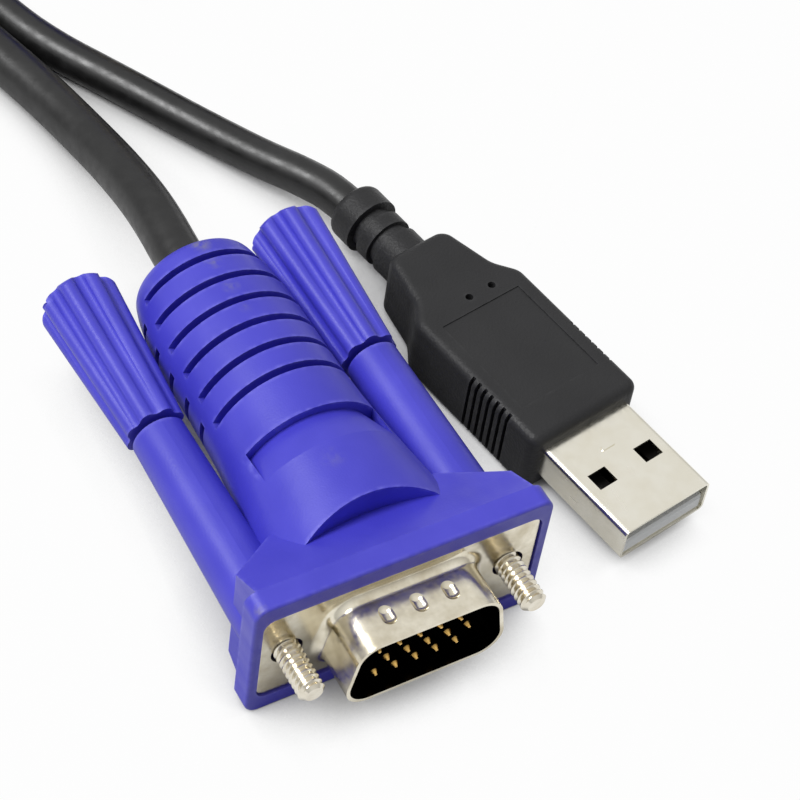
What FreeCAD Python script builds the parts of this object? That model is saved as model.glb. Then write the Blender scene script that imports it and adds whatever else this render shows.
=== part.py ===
import FreeCAD, Part
import math
import os
from FreeCAD import Placement, Rotation, Vector

# A two-cord cable set: a 15-pin display plug with captive thumbscrews and a flat data plug at the near end,
# and the same display plug and a square data plug at the far end of the put-away cords.
# Millimetres, +Z up. The origin lies on the floor, under the middle of the near display plug's front rim.
# Every plug is drawn in its own frame: X across, Y from the mating side to the cord, Z up from its axis.

# 15-pin interface: pins, drawn shell and flange plate
PIN_PITCH = 2.29
PIN_ROW_PITCH = 1.98
PIN_ROWS = 3
PINS_IN_ROW = 5
PIN_DIAMETER = 0.76
PIN_TIP = 0.5
PIN_TIP_FLAT = 0.3
PIN_SET_BACK = 0.8
PIN_PLAY = 0.03
SHELL_WIDTH = 16.92
SHELL_HEIGHT = 8.36
SHELL_LEAN = 10.0
SHELL_CORNER = 2.4
SHELL_REACH = 5.9
SHELL_SHEET = 0.4
SHELL_ROOT = 1.1
FLANGE_EAR = 2.905
FLANGE_HEIGHT = 12.8
FLANGE_CORNER = 1.2
FLANGE_SHEET = 0.5
FLANGE_HOLE = 3.5
SCREW_SPACING = 24.99
DIMPLES = 3
DIMPLE_PITCH = 3.5
DIMPLE_WIDTH = 1.5
DIMPLE_LENGTH = 2.3
DIMPLE_DEPTH = 0.35
DIMPLE_FROM_MOUTH = 2.9

# Insulator and the rear shell that clamps it against the front shell
INSULATOR_SET_BACK = 4.9
INSULATOR_PLAY = 0.05
INSULATOR_SHOULDER = 0.45
REAR_SHELL_DEPTH = 4.2

# Hood: front rim, sloping shoulder, barrel with its slotted strain relief, and two screw tubes
RIM_SIDE = 1.2
RIM_HEIGHT = 17.4
RIM_CORNER = 1.5
RIM_DEPTH = 2.5
RIM_LIP = 0.25
RIM_EDGE = 0.35
FLANGE_PLAY = 0.15
SHOULDER_STEP = 1.2
SHOULDER_STRAIGHT = 3.8
SHOULDER_LENGTH = 8.3
SHOULDER_SLOPE = 30.0
SHOULDER_REAR_WIDTH = 18.8
HOOD_LENGTH = 47.0
BARREL_START = 6.3
BARREL_START_WIDTH = 21.6
BARREL_INSET = 0.05
BARREL_WAIST_AT = 20.0
BARREL_WAIST_WIDTH = 17.5
BARREL_WAIST_HEIGHT = 17.0
RELIEF_AT = 27.0
RELIEF_DIAMETER = 16.5
RELIEF_END_DIAMETER = 13.2
RELIEF_END_ROUND = 1.7
RELIEF_SLOTS = 6
SLOT_PITCH = 3.6
SLOT_WIDTH = 0.9
SLOT_DEPTH = 2.1
SLOT_SPAN = 140.0
SLOT_SPAN_BELOW = 196.0
SLOT_FROM_END = 3.3
WINDOW_AT = 19.9
WINDOW_LENGTH = 4.8
WINDOW_WIDTH = 14.6
WINDOW_DEPTH = 1.1
SCOOP_WIDTH = 16.6
SCOOP_DEPTH = 1.9
TUBE_END = 28.7
TUBE_END_DIAMETER = 5.9
TUBE_ROOT_DIAMETER = 6.9
CORD_IN_HOOD = 12.0

# Captive thumbscrews: a steel screw with a moulded, lobed knob
THREAD_DIAMETER = 2.84
THREAD_REACH = 5.6
THREAD_CHAMFER = 0.35
THREAD_RUNOUT = 0.3
RUNOUT_DIAMETER = 2.6
NECK_DIAMETER = 2.0
NECK_LENGTH = 4.6
SCREW_PLAY = 0.1
COLLAR_DEPTH = 2.2
SCREW_FLOAT = 0.9
KNOB_GAP = 0.8
KNOB_LENGTH = 19.8
KNOB_LOBES = 8
KNOB_LOBE_SHARE = 0.58
KNOB_LEFT_TURN = 22.5
KNOB_RIGHT_TURN = 0.0
KNOB_FRONT_DIAMETER = 6.7
KNOB_REAR_DIAMETER = 9.0
KNOB_FRONT_FLUTE = 0.45
KNOB_REAR_FLUTE = 1.05
KNOB_REAR_ROUND = 1.5
KNOB_WALL_AT_REAR = 5.0
KNOB_SLOT_WIDTH = 0.9
KNOB_SLOT_DEPTH = 1.2

# Flat data plug: folded shell, tongue, contacts and overmould
FLAT_SHELL_WIDTH = 12.0
FLAT_SHELL_HEIGHT = 4.5
FLAT_SHELL_CORNER = 0.6
FLAT_SHELL_SHEET = 0.3
FLAT_SHELL_REACH = 13.2
FLAT_SHELL_BURIED = 5.0
LATCH_HOLE_WIDTH = 2.4
LATCH_HOLE_LENGTH = 2.15
LATCH_HOLE_AT = 6.85
LATCH_HOLE_SPACING = 6.5
LANCE_WIDTH = 1.7
LANCE_AT = 9.5
LANCE_RISE = 0.15
TONGUE_THICKNESS = 1.95
TONGUE_PLAY = 0.05
TONGUE_SET_BACK = 0.2
TONGUE_CHAMFER = 0.25
FLAT_CONTACT_PLACES = (-3.5, -1.0, 1.0, 3.5)
FLAT_CONTACT_WIDTH = 1.0
FLAT_CONTACT_SHEET = 0.2
FLAT_CONTACT_AT = 2.4
FLAT_BODY_WIDTH = 15.0
FLAT_BODY_HEIGHT = 8.4
FLAT_BODY_STRAIGHT = 20.0
FLAT_WAIST_WIDTH = 11.2
FLAT_WAIST_AT = 22.6
FLAT_BODY_REAR_WIDTH = 8.2
FLAT_BODY_LENGTH = 29.4
FLAT_FRONT_ROUND = 1.3
FLAT_SHOULDER_ROUND = 2.2
FLAT_WAIST_ROUND = 3.4
FLAT_REAR_ROUND = 1.8
FLAT_EDGE_ROUND = 1.1
GRIP_RIBS = 7
GRIP_PITCH = 1.0
GRIP_WIDTH = 0.45
GRIP_DEPTH = 0.6
GRIP_START = 4.4
PANEL_WIDTH = 10.8
PANEL_LENGTH = 13.4
PANEL_AT = 4.6
PANEL_DEPTH = 0.12
MARK_DIAMETER = 0.9
MARK_DEPTH = 0.8
MARK_AT = 19.7
MARK_PLACES = (-0.2, 3.0)

# Square data plug at the far end
SQUARE_SHELL_WIDTH = 8.45
SQUARE_SHELL_HEIGHT = 7.78
SQUARE_SHELL_CHAMFER = 1.9
SQUARE_SHELL_SHEET = 0.35
SQUARE_SHELL_CORNER = 0.5
SQUARE_SHELL_REACH = 11.8
SQUARE_SHELL_BURIED = 4.0
CORE_PLAY = 0.05
CORE_SET_BACK = 0.6
CORE_CAVITY_WIDTH = 5.7
CORE_CAVITY_HEIGHT = 3.3
CORE_CAVITY_DEPTH = 8.6
SQUARE_CONTACT_WIDTH = 0.9
SQUARE_CONTACT_SHEET = 0.25
SQUARE_CONTACT_SPACING = 2.5
SQUARE_BODY_WIDTH = 12.0
SQUARE_BODY_HEIGHT = 10.6
SQUARE_BODY_LENGTH = 17.0
SQUARE_BODY_ROUND = 2.0
SQUARE_BODY_REAR_ROUND = 1.2

# Ringed strain relief of both data plugs
COLLAR_INSET = 0.7
RING_STEP = 0.4
RING_GROOVES = 2
RING_GROOVE_WIDTH = 1.2
RING_GROOVE_DEPTH = 0.5
RING_LENGTH = 1.8
RING_NECK = 3.0
COLLAR_LENGTH = 3.6
COLLAR_ROUND = 1.0
SQUARE_RING_LENGTH = 1.2
SQUARE_RING_NECK = 1.2
SQUARE_COLLAR_LENGTH = 2.6
CORD_IN_DATA_PLUG = 9.0

# Cords, and the coil that the unseen length is wound into
DISPLAY_CORD_DIAMETER = 5.6
DATA_CORD_DIAMETER = 4.6
COIL_CENTRE = Vector(11.7, 194.0, 0.0)
DISPLAY_COIL_OUTER = 35.5
DISPLAY_COIL_INNER = 21.5
DATA_COIL_OUTER = 31.5
DATA_COIL_INNER = 19.9
COIL_ROWS = 2
CORD_STRAIGHT = 1.6
TIE_WIDTH = 8.0
TIE_THICKNESS = 0.8
TIE_PLAY = 0.5
TIE_CORNER = 2.0
TIE_TAB = 0.5
ARC_SHARE = 0.45

# Where the plugs lie
FAR_PLUG_X = 32.0
FAR_PLUG_Y = 104.0
DATA_PLUG_X = 32.7
DATA_PLUG_Y = -0.65
DATA_PLUG_YAW = 10.0
SQUARE_PLUG_X = 37.8
SQUARE_PLUG_REAR_Y = 193.0

# Values worked out from the driving dimensions
FRONT = Vector(0, -1, 0)
REAR = Vector(0, 1, 0)
UP = Vector(0, 0, 1)
AXIS_HEIGHT = RIM_HEIGHT / 2
FLANGE_WIDTH = SCREW_SPACING + 2 * FLANGE_EAR
RIM_WIDTH = FLANGE_WIDTH + 2 * RIM_SIDE
RIM_FRONT = -RIM_LIP
RIM_REAR = RIM_FRONT + RIM_DEPTH
SCREW_X = SCREW_SPACING / 2
PLATES = 2 * FLANGE_SHEET
COLLAR_FRONT = PLATES + THREAD_DIAMETER / 2 + SCREW_FLOAT
COLLAR_REAR = COLLAR_FRONT + COLLAR_DEPTH
NECK_FRONT = COLLAR_FRONT - SCREW_FLOAT
KNOB_FRONT = TUBE_END + KNOB_GAP
KNOB_REAR = KNOB_FRONT + KNOB_LENGTH
NEAR_PLUG = Vector(0, -(RIM_FRONT + RIM_REAR) / 2, AXIS_HEIGHT)
FAR_PLUG = Vector(FAR_PLUG_X, FAR_PLUG_Y, AXIS_HEIGHT)
FLAT_BODY_FRONT = FLAT_SHELL_REACH
RELIEF_RINGS = RING_GROOVES * RING_GROOVE_WIDTH
FLAT_RELIEF = RING_NECK + RELIEF_RINGS + (RING_GROOVES - 1) * RING_LENGTH + COLLAR_LENGTH
SQUARE_RINGS = RELIEF_RINGS + (RING_GROOVES - 1) * SQUARE_RING_LENGTH
SQUARE_RELIEF = SQUARE_RING_NECK + SQUARE_RINGS + SQUARE_COLLAR_LENGTH
FLAT_PLUG_LENGTH = FLAT_BODY_FRONT + FLAT_BODY_LENGTH + FLAT_RELIEF
SQUARE_PLUG_LENGTH = SQUARE_SHELL_REACH + SQUARE_BODY_LENGTH + SQUARE_RELIEF
DATA_PLUG = Vector(DATA_PLUG_X, DATA_PLUG_Y, FLAT_BODY_HEIGHT / 2)
COLLAR_DIAMETER = FLAT_BODY_HEIGHT - 2 * COLLAR_INSET
RING_DIAMETER = COLLAR_DIAMETER - 2 * RING_STEP
DISPLAY_COIL_BASE = TIE_THICKNESS
DISPLAY_COIL_TOP = DISPLAY_COIL_BASE + COIL_ROWS * DISPLAY_CORD_DIAMETER
DATA_COIL_TOP = DISPLAY_COIL_TOP + COIL_ROWS * DATA_CORD_DIAMETER
SQUARE_PLUG_Z = DATA_COIL_TOP + SQUARE_BODY_HEIGHT / 2
SQUARE_PLUG = Vector(SQUARE_PLUG_X, SQUARE_PLUG_REAR_Y - SQUARE_PLUG_LENGTH, SQUARE_PLUG_Z)

# Routes of the cords between the plugs and the coil, chosen by hand: down to the floor and on to the coil,
# and from the coil to the far plugs
DISPLAY_RUN = [
    (0.4, 57.0, 7.8), (0.9, 65.8, 5.6), (0.9, 74.6, 3.6), (-0.3, 83.6, 2.85), (-2.9, 93.0, 2.8),
    (-6.4, 103.0, 2.85), (-10.5, 114.0, 2.95), (-14.6, 125.5, 3.15), (-18.2, 138.0, 3.35),
    (-20.9, 151.0, 3.5), (-22.6, 164.0, 3.6), (-23.5, 176.5, 3.62), (-23.6, 188.0, 3.6),
]
DISPLAY_TAIL = [
    (44.5, 200.4, 9.2), (43.7, 192.2, 9.15), (41.5, 184.2, 9.0), (38.3, 176.4, 8.9), (35.0, 168.8, 8.8),
    (32.8, 160.8, 8.72),
]
DATA_RUN = [
    (21.7, 58.0, 3.8), (19.4, 62.4, 3.2), (16.5, 67.0, 2.7), (13.3, 72.2, 2.4), (10.0, 77.8, 2.3),
    (6.8, 83.8, 2.3), (3.9, 90.2, 2.3), (1.4, 96.8, 2.4), (-1.2, 104.6, 2.75), (-3.9, 113.4, 4.0),
    (-6.6, 122.8, 6.4), (-9.1, 132.8, 10.0), (-11.2, 143.4, 13.2), (-13.1, 154.6, 15.0), (-14.9, 166.0, 15.3),
    (-16.8, 176.6, 14.9), (-18.7, 184.2, 14.4),
]
DATA_TAIL = [
    (-19.8, 194.0, 18.9), (-18.5, 203.6, 19.3), (-14.1, 212.4, 20.3), (-7.0, 219.0, 21.8), (1.6, 223.1, 23.5),
    (11.2, 224.2, 25.1), (20.4, 222.2, 26.1), (28.2, 217.5, 26.5), (34.0, 210.6, 26.5), (37.2, 202.4, 26.5),
]


# Wires and simple solids

def loop(corners, radii):
    """Closed wire round the corners, each rounded by a tangent arc of its own radius."""
    count = len(corners)
    arcs = []
    for index, corner in enumerate(corners):
        back = (corners[index - 1] - corner).normalize()
        ahead = (corners[(index + 1) % count] - corner).normalize()
        half = back.getAngle(ahead) / 2
        inwards = (back + ahead).normalize()
        reach = radii[index] / math.tan(half)
        crown = corner + inwards * (radii[index] / math.sin(half) - radii[index])
        arcs.append((corner + back * reach, crown, corner + ahead * reach))
    edges = []
    for index, (start, crown, end) in enumerate(arcs):
        edges.append(Part.Arc(start, crown, end).toShape())
        edges.append(Part.LineSegment(end, arcs[(index + 1) % count][0]).toShape())
    return Part.Wire(edges)


def block(wire, push):
    """Solid that the closed wire sweeps along the vector."""
    return Part.Face(wire).extrude(push)


def rectangle(width, height, corner, y):
    """Rounded rectangle across the plug's axis."""
    x, z = width / 2, height / 2
    corners = [Vector(-x, y, -z), Vector(x, y, -z), Vector(x, y, z), Vector(-x, y, z)]
    return loop(corners, [corner] * 4)


def d_outline(grow, y):
    """Outline of the 15-pin shell's inside, grown outwards: wide side down, sides leaning in to the top."""
    lean = math.radians(SHELL_LEAN)
    radius = SHELL_CORNER + grow
    base = SHELL_WIDTH / 2 + grow + radius * (1 / math.tan((math.pi / 2 - lean) / 2) - 1)
    z = SHELL_HEIGHT / 2 + grow
    top = base - 2 * z * math.tan(lean)
    corners = [Vector(-base, y, -z), Vector(base, y, -z), Vector(top, y, z), Vector(-top, y, z)]
    return loop(corners, [radius] * 4)


def turned(profile):
    """Solid of revolution about Y from a closed outline of (radius, y) corners."""
    corners = [Vector(radius, y, 0) for radius, y in profile]
    return Part.Face(Part.makePolygon(corners + corners[:1])).revolve(Vector(), REAR, 360)


def rod(diameter, start, end, x=0.0, z=0.0):
    """Cylinder along Y."""
    return Part.makeCylinder(diameter / 2, end - start, Vector(x, start, z), REAR)


def brick(width, start, end, low, high, x=0.0):
    """Box centred on x, from start to end along Y and from low to high."""
    return Part.makeBox(width, end - start, high - low, Vector(x - width / 2, start, low))


def mirrored_up(shape):
    """The shape together with its mirror image below the plug's middle plane."""
    return [shape, shape.mirror(Vector(), UP)]


# Display plug

def capsule(radius, z):
    """Round-ended rod along Y for the shell's dimples, about the plug's middle plane."""
    middle = DIMPLE_FROM_MOUTH - SHELL_REACH
    half = (DIMPLE_LENGTH - DIMPLE_WIDTH) / 2
    bar = rod(2 * radius, middle - half, middle + half, 0.0, z)
    ends = [Part.makeSphere(radius, Vector(0, middle + side * half, z)) for side in (-1, 1)]
    return bar.fuse(ends)


def front_shell():
    """Drawn steel shell and flange plate in one sheet, with a rounded root and three dimples in its top."""
    skirt = block(d_outline(SHELL_SHEET, -SHELL_REACH), REAR * (SHELL_REACH + FLANGE_SHEET))
    plate = block(rectangle(FLANGE_WIDTH, FLANGE_HEIGHT, FLANGE_CORNER, 0.0), REAR * FLANGE_SHEET)
    shell = plate.fuse(skirt).removeSplitter()
    root_half = (SHELL_HEIGHT + FLANGE_HEIGHT) / 4
    root_side = (SHELL_WIDTH + FLANGE_WIDTH) / 4
    root = [
        edge for edge in shell.Edges
        if edge.BoundBox.YLength < 1e-6 and abs(edge.CenterOfMass.y) < 1e-6
        and abs(edge.CenterOfMass.z) < root_half and abs(edge.CenterOfMass.x) < root_side
    ]
    shell = shell.makeFillet(SHELL_ROOT, root)
    shell = shell.cut(block(d_outline(0.0, -SHELL_REACH), REAR * (SHELL_REACH + FLANGE_SHEET)))
    face = SHELL_HEIGHT / 2 + SHELL_SHEET
    radius = ((DIMPLE_WIDTH / 2) ** 2 + DIMPLE_DEPTH ** 2) / (2 * DIMPLE_DEPTH)
    centre = face + radius - DIMPLE_DEPTH
    under = brick(SHELL_WIDTH, -SHELL_REACH, 0.0, 0.0, face)
    places = [Vector((index - (DIMPLES - 1) / 2) * DIMPLE_PITCH, 0, 0) for index in range(DIMPLES)]
    bulge = capsule(radius + SHELL_SHEET, centre).common(under)
    dent = capsule(radius, centre)
    bulges = [bulge.translated(place) for place in places]
    dents = [dent.translated(place) for place in places]
    holes = [rod(FLANGE_HOLE, 0.0, FLANGE_SHEET, side * SCREW_X) for side in (-1, 1)]
    return shell.fuse(bulges).cut(dents + holes).removeSplitter()


def rear_shell():
    """Second plate and skirt, behind the flange, round the insulator."""
    depth = PLATES + REAR_SHELL_DEPTH
    grow = INSULATOR_SHOULDER + INSULATOR_PLAY
    plate = block(rectangle(FLANGE_WIDTH, FLANGE_HEIGHT, FLANGE_CORNER, FLANGE_SHEET), REAR * FLANGE_SHEET)
    skirt = block(d_outline(grow + SHELL_SHEET, FLANGE_SHEET), REAR * (depth - FLANGE_SHEET))
    well = block(d_outline(grow, FLANGE_SHEET), REAR * depth)
    holes = [rod(FLANGE_HOLE, FLANGE_SHEET, PLATES, side * SCREW_X) for side in (-1, 1)]
    return plate.fuse(skirt).cut([well] + holes).removeSplitter()


def pin_places():
    """The (x, z) places of the pins: the middle row lies half a pitch across from the other two."""
    places = []
    for row in range(PIN_ROWS):
        shift = (0.5 if row % 2 else -0.5) * PIN_PITCH / 2
        for column in range(PINS_IN_ROW):
            x = (column - (PINS_IN_ROW - 1) / 2) * PIN_PITCH + shift
            places.append((x, ((PIN_ROWS - 1) / 2 - row) * PIN_ROW_PITCH))
    return places


def insulator():
    """Moulded block that holds the pins, with a shoulder caught behind the front shell."""
    front = INSULATOR_SET_BACK - SHELL_REACH
    depth = PLATES + REAR_SHELL_DEPTH
    nose = block(d_outline(-INSULATOR_PLAY, front), REAR * (FLANGE_SHEET - front))
    back = block(d_outline(INSULATOR_SHOULDER, FLANGE_SHEET), REAR * (depth - FLANGE_SHEET))
    holes = [rod(PIN_DIAMETER + 2 * PIN_PLAY, front, depth, x, z) for x, z in pin_places()]
    return nose.fuse(back).cut(holes).removeSplitter()


def pins():
    """Fifteen round pins with tapered tips, one solid each."""
    tip = PIN_SET_BACK - SHELL_REACH
    radius = PIN_DIAMETER / 2
    rear = PLATES + REAR_SHELL_DEPTH
    pin = turned([(0, tip), (PIN_TIP_FLAT / 2, tip), (radius, tip + PIN_TIP), (radius, rear), (0, rear)])
    return Part.makeCompound([pin.translated(Vector(x, 0, z)) for x, z in pin_places()])


def barrel_section(y, width, height):
    """Ellipse across the hood's barrel."""
    centre = Vector(0, y, 0)
    return Part.Wire(Part.Ellipse(Vector(width / 2, y, 0), Vector(0, y, height / 2), centre).toShape())


def barrel_size(y):
    """Width and height of the barrel between its waist and its rear end, by straight taper."""
    knots = [
        (BARREL_START, BARREL_START_WIDTH, RIM_HEIGHT - 2 * BARREL_INSET),
        (BARREL_WAIST_AT, BARREL_WAIST_WIDTH, BARREL_WAIST_HEIGHT),
        (RELIEF_AT, RELIEF_DIAMETER, RELIEF_DIAMETER),
        (HOOD_LENGTH, RELIEF_END_DIAMETER, RELIEF_END_DIAMETER),
    ]
    for (start, width, height), (end, next_width, next_height) in zip(knots, knots[1:]):
        if y <= end:
            share = (y - start) / (end - start)
            return width + share * (next_width - width), height + share * (next_height - height)
    return knots[-1][1:]


def relief_slot(y, below):
    """Cutter for one transverse slot of the strain relief, over the top or under the bottom."""
    width, _ = barrel_size(y)
    span = SLOT_SPAN_BELOW if below else SLOT_SPAN
    sector = Part.makeCylinder(width, SLOT_WIDTH, Vector(0, y - SLOT_WIDTH / 2, 0), REAR, span)
    floor = rod(width - 2 * SLOT_DEPTH, y - SLOT_WIDTH, y + SLOT_WIDTH)
    middle = math.degrees(math.atan2(sector.CenterOfMass.z, sector.CenterOfMass.x))
    turn = middle - (270 if below else 90)
    return sector.rotated(Vector(), REAR, turn).cut(floor)


def thumb_window():
    """Cutter for the finger recess on the barrel, deepest at its rear wall and shallow at the front."""
    front = WINDOW_AT - WINDOW_LENGTH
    rear_width, rear_height = barrel_size(WINDOW_AT)
    front_width, front_height = barrel_size(front)
    floor = Part.makeLoft([
        barrel_section(front, front_width + WINDOW_DEPTH / 4, front_height + WINDOW_DEPTH / 4),
        barrel_section(WINDOW_AT, rear_width - 2 * WINDOW_DEPTH, rear_height - 2 * WINDOW_DEPTH),
    ], True, True)
    return brick(WINDOW_WIDTH, front, WINDOW_AT, 0.0, RIM_HEIGHT).cut(floor)


def scoop():
    """Cutter that hollows the barrel's front wall to an arc in plan, above the sloping shoulder."""
    top = RIM_HEIGHT / 2
    deepest = BARREL_START + SCOOP_DEPTH
    foot = top - (deepest - RIM_REAR) * math.tan(math.radians(SHOULDER_SLOPE))
    radius = ((SCOOP_WIDTH / 2) ** 2 + SCOOP_DEPTH ** 2) / (2 * SCOOP_DEPTH)
    low = foot - SCOOP_DEPTH
    return Part.makeCylinder(radius, top - low, Vector(0, deepest - radius, low))


def barrel():
    """Barrel that tapers to the strain relief, with its slots, finger recesses and scooped front."""
    knots = (BARREL_START, (BARREL_START + BARREL_WAIST_AT) / 2, BARREL_WAIST_AT, RELIEF_AT, HOOD_LENGTH)
    body = Part.makeLoft([barrel_section(y, *barrel_size(y)) for y in knots], True, False)
    rear = [edge for edge in body.Edges if edge.BoundBox.YMin > HOOD_LENGTH - 0.1]
    body = body.makeFillet(RELIEF_END_ROUND, rear)
    places = [HOOD_LENGTH - SLOT_FROM_END - index * SLOT_PITCH for index in range(RELIEF_SLOTS)]
    cutters = [relief_slot(y, False) for y in places]
    cutters += [relief_slot(y - SLOT_PITCH / 2, True) for y in places[:-1]]
    return body.cut(cutters + mirrored_up(thumb_window()) + mirrored_up(scoop()))


def shoulder():
    """Block behind the rim, with sloping top and bottom and its rear corners cut back to the barrel."""
    x = RIM_WIDTH / 2 - SHOULDER_STEP
    rear_x = SHOULDER_REAR_WIDTH / 2
    z = RIM_HEIGHT / 2
    rear = RIM_REAR + SHOULDER_LENGTH
    rear_z = z - SHOULDER_LENGTH * math.tan(math.radians(SHOULDER_SLOPE))
    straight = RIM_REAR + SHOULDER_STRAIGHT
    plan = [(-x, RIM_REAR), (x, RIM_REAR), (x, straight), (rear_x, rear), (-rear_x, rear), (-x, straight)]
    side = [(RIM_REAR, -z), (rear, -rear_z), (rear, rear_z), (RIM_REAR, z)]
    from_above = [Vector(across, y, -z) for across, y in plan]
    from_side = [Vector(-x, y, height) for y, height in side]
    flat = block(Part.makePolygon(from_above + from_above[:1]), UP * RIM_HEIGHT)
    return flat.common(block(Part.makePolygon(from_side + from_side[:1]), Vector(2 * x, 0, 0)))


def rim():
    """Front rim with softened front edges."""
    plate = block(rectangle(RIM_WIDTH, RIM_HEIGHT, RIM_CORNER, RIM_FRONT), REAR * RIM_DEPTH)
    front = [edge for edge in plate.Edges if edge.BoundBox.YMax < RIM_FRONT + 1e-6]
    return plate.makeFillet(RIM_EDGE, front)


def screw_bore(x):
    """Stepped bore for one thumbscrew, with the collar that keeps it captive."""
    shank = THREAD_DIAMETER + 2 * SCREW_PLAY
    steps = [
        rod(FLANGE_HOLE, PLATES, COLLAR_FRONT, x),
        rod(NECK_DIAMETER + 2 * SCREW_PLAY, COLLAR_FRONT, COLLAR_REAR, x),
        rod(shank, COLLAR_REAR, TUBE_END, x),
    ]
    return steps


def hood():
    """Overmoulded hood in one piece: rim, shoulder, barrel and screw tubes, hollow for what it holds."""
    start = RIM_REAR
    length = TUBE_END - start
    tubes = [
        Part.makeCone(TUBE_ROOT_DIAMETER / 2, TUBE_END_DIAMETER / 2, length, Vector(x, start, 0), REAR)
        for x in (-SCREW_X, SCREW_X)
    ]
    body = rim().fuse([shoulder(), barrel()] + tubes)
    play = 2 * FLANGE_PLAY
    recess = rectangle(FLANGE_WIDTH + play, FLANGE_HEIGHT + play, FLANGE_CORNER + FLANGE_PLAY, RIM_FRONT)
    skirt = INSULATOR_SHOULDER + INSULATOR_PLAY + SHELL_SHEET
    pocket = block(d_outline(skirt, PLATES), REAR * REAR_SHELL_DEPTH)
    bore = rod(DISPLAY_CORD_DIAMETER, HOOD_LENGTH - CORD_IN_HOOD, HOOD_LENGTH)
    hollows = [block(recess, REAR * (PLATES - RIM_FRONT)), pocket, bore]
    return body.cut(hollows + screw_bore(-SCREW_X) + screw_bore(SCREW_X)).removeSplitter()


def screw(x):
    """Steel screw: threaded tip, thin neck through the hood's collar, and a shank that runs into the knob."""
    radius = THREAD_DIAMETER / 2
    runout = RUNOUT_DIAMETER / 2
    neck = NECK_DIAMETER / 2
    neck_end = NECK_FRONT + NECK_LENGTH
    end = KNOB_REAR - KNOB_WALL_AT_REAR
    profile = [
        (0, -THREAD_REACH), (radius - THREAD_CHAMFER, -THREAD_REACH), (radius, THREAD_CHAMFER - THREAD_REACH),
        (radius, -THREAD_RUNOUT), (runout, -THREAD_RUNOUT), (runout, NECK_FRONT), (neck, NECK_FRONT),
        (neck, neck_end), (radius, neck_end), (radius, end), (0, end),
    ]
    return turned(profile).translated(Vector(x, 0, 0))


def rosette(diameter, flute, y):
    """Ring of rounded lobes with a rounded valley between each two."""
    crest = diameter / 2
    valley = crest - flute
    middle = (crest + valley) / 2
    half = KNOB_LOBE_SHARE / 2

    def spot(radius, lobe):
        angle = 2 * math.pi * lobe / KNOB_LOBES
        return Vector(radius * math.cos(angle), y, radius * math.sin(angle))

    arcs = []
    for lobe in range(KNOB_LOBES):
        rise, fall, next_rise = (spot(middle, lobe + step) for step in (-half, half, 1 - half))
        arcs.append(Part.Arc(rise, spot(crest, lobe), fall))
        arcs.append(Part.Arc(fall, spot(valley, lobe + 0.5), next_rise))
    return Part.Wire([arc.toShape() for arc in arcs])


def knob(x, turn):
    """Lobed knob that widens to the rear, with a rounded rear end and a driver slot, turned about its axis."""
    lobed = Part.makeLoft([
        rosette(KNOB_FRONT_DIAMETER, KNOB_FRONT_FLUTE, KNOB_FRONT),
        rosette(KNOB_REAR_DIAMETER, KNOB_REAR_FLUTE, KNOB_REAR),
    ], True, True)
    envelope = rod(KNOB_REAR_DIAMETER, KNOB_FRONT, KNOB_REAR)
    rear = [edge for edge in envelope.Edges if edge.BoundBox.YMin > KNOB_REAR - 1e-6]
    body = lobed.common(envelope.makeFillet(KNOB_REAR_ROUND, rear))
    bore = rod(THREAD_DIAMETER, KNOB_FRONT, KNOB_REAR - KNOB_WALL_AT_REAR)
    half = KNOB_REAR_DIAMETER / 2
    slot = brick(2 * half, KNOB_REAR - KNOB_SLOT_DEPTH, KNOB_REAR, -KNOB_SLOT_WIDTH / 2, KNOB_SLOT_WIDTH / 2)
    return body.cut([bore, slot]).rotated(Vector(), REAR, turn).translated(Vector(x, 0, 0))


# Data plugs

def ringed_relief(start, neck, ring, collar):
    """Strain relief of rings and grooves that ends in a rounded collar."""
    radius = RING_DIAMETER / 2
    groove = radius - RING_GROOVE_DEPTH
    profile = [(0, start), (radius, start)]
    y = start + neck
    for index in range(RING_GROOVES):
        far = y + RING_GROOVE_WIDTH
        profile += [(radius, y), (groove, y), (groove, far), (radius, far)]
        y = far + (ring if index < RING_GROOVES - 1 else 0)
    profile[-1] = (COLLAR_DIAMETER / 2, y)
    profile += [(COLLAR_DIAMETER / 2, y + collar), (0, y + collar)]
    relief = turned(profile)
    end = [edge for edge in relief.Edges if edge.BoundBox.YMin > y + collar - 1e-6]
    return relief.makeFillet(COLLAR_ROUND, end)


def side_grips(width, front, low, top):
    """Cutters for the rows of fine grooves in both flanks of an overmould."""
    places = [front + GRIP_START + index * GRIP_PITCH for index in range(GRIP_RIBS)]
    flanks = (-width / 2, width / 2)
    return [brick(2 * GRIP_DEPTH, y, y + GRIP_WIDTH, low, top, x) for x in flanks for y in places]


def flat_shell():
    """Folded steel shell of the flat plug with its latch holes and a raised lance."""
    end = FLAT_SHELL_REACH + FLAT_SHELL_BURIED
    inside = FLAT_SHELL_CORNER - FLAT_SHELL_SHEET
    outer = block(rectangle(FLAT_SHELL_WIDTH, FLAT_SHELL_HEIGHT, FLAT_SHELL_CORNER, 0.0), REAR * end)
    width = FLAT_SHELL_WIDTH - 2 * FLAT_SHELL_SHEET
    height = FLAT_SHELL_HEIGHT - 2 * FLAT_SHELL_SHEET
    inner = block(rectangle(width, height, inside, 0.0), REAR * end)
    top = FLAT_SHELL_HEIGHT / 2
    start = LATCH_HOLE_AT - LATCH_HOLE_LENGTH / 2
    holes = [
        brick(LATCH_HOLE_WIDTH, start, start + LATCH_HOLE_LENGTH, -top, top, side * LATCH_HOLE_SPACING / 2)
        for side in (-1, 1)
    ]
    foot = Vector(0, LANCE_AT, top - FLAT_SHELL_SHEET)
    lance = Part.makeCylinder(LANCE_WIDTH / 2, FLAT_SHELL_SHEET + LANCE_RISE, foot, UP, 180)
    return outer.cut([inner] + holes).fuse(lance).removeSplitter()


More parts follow.
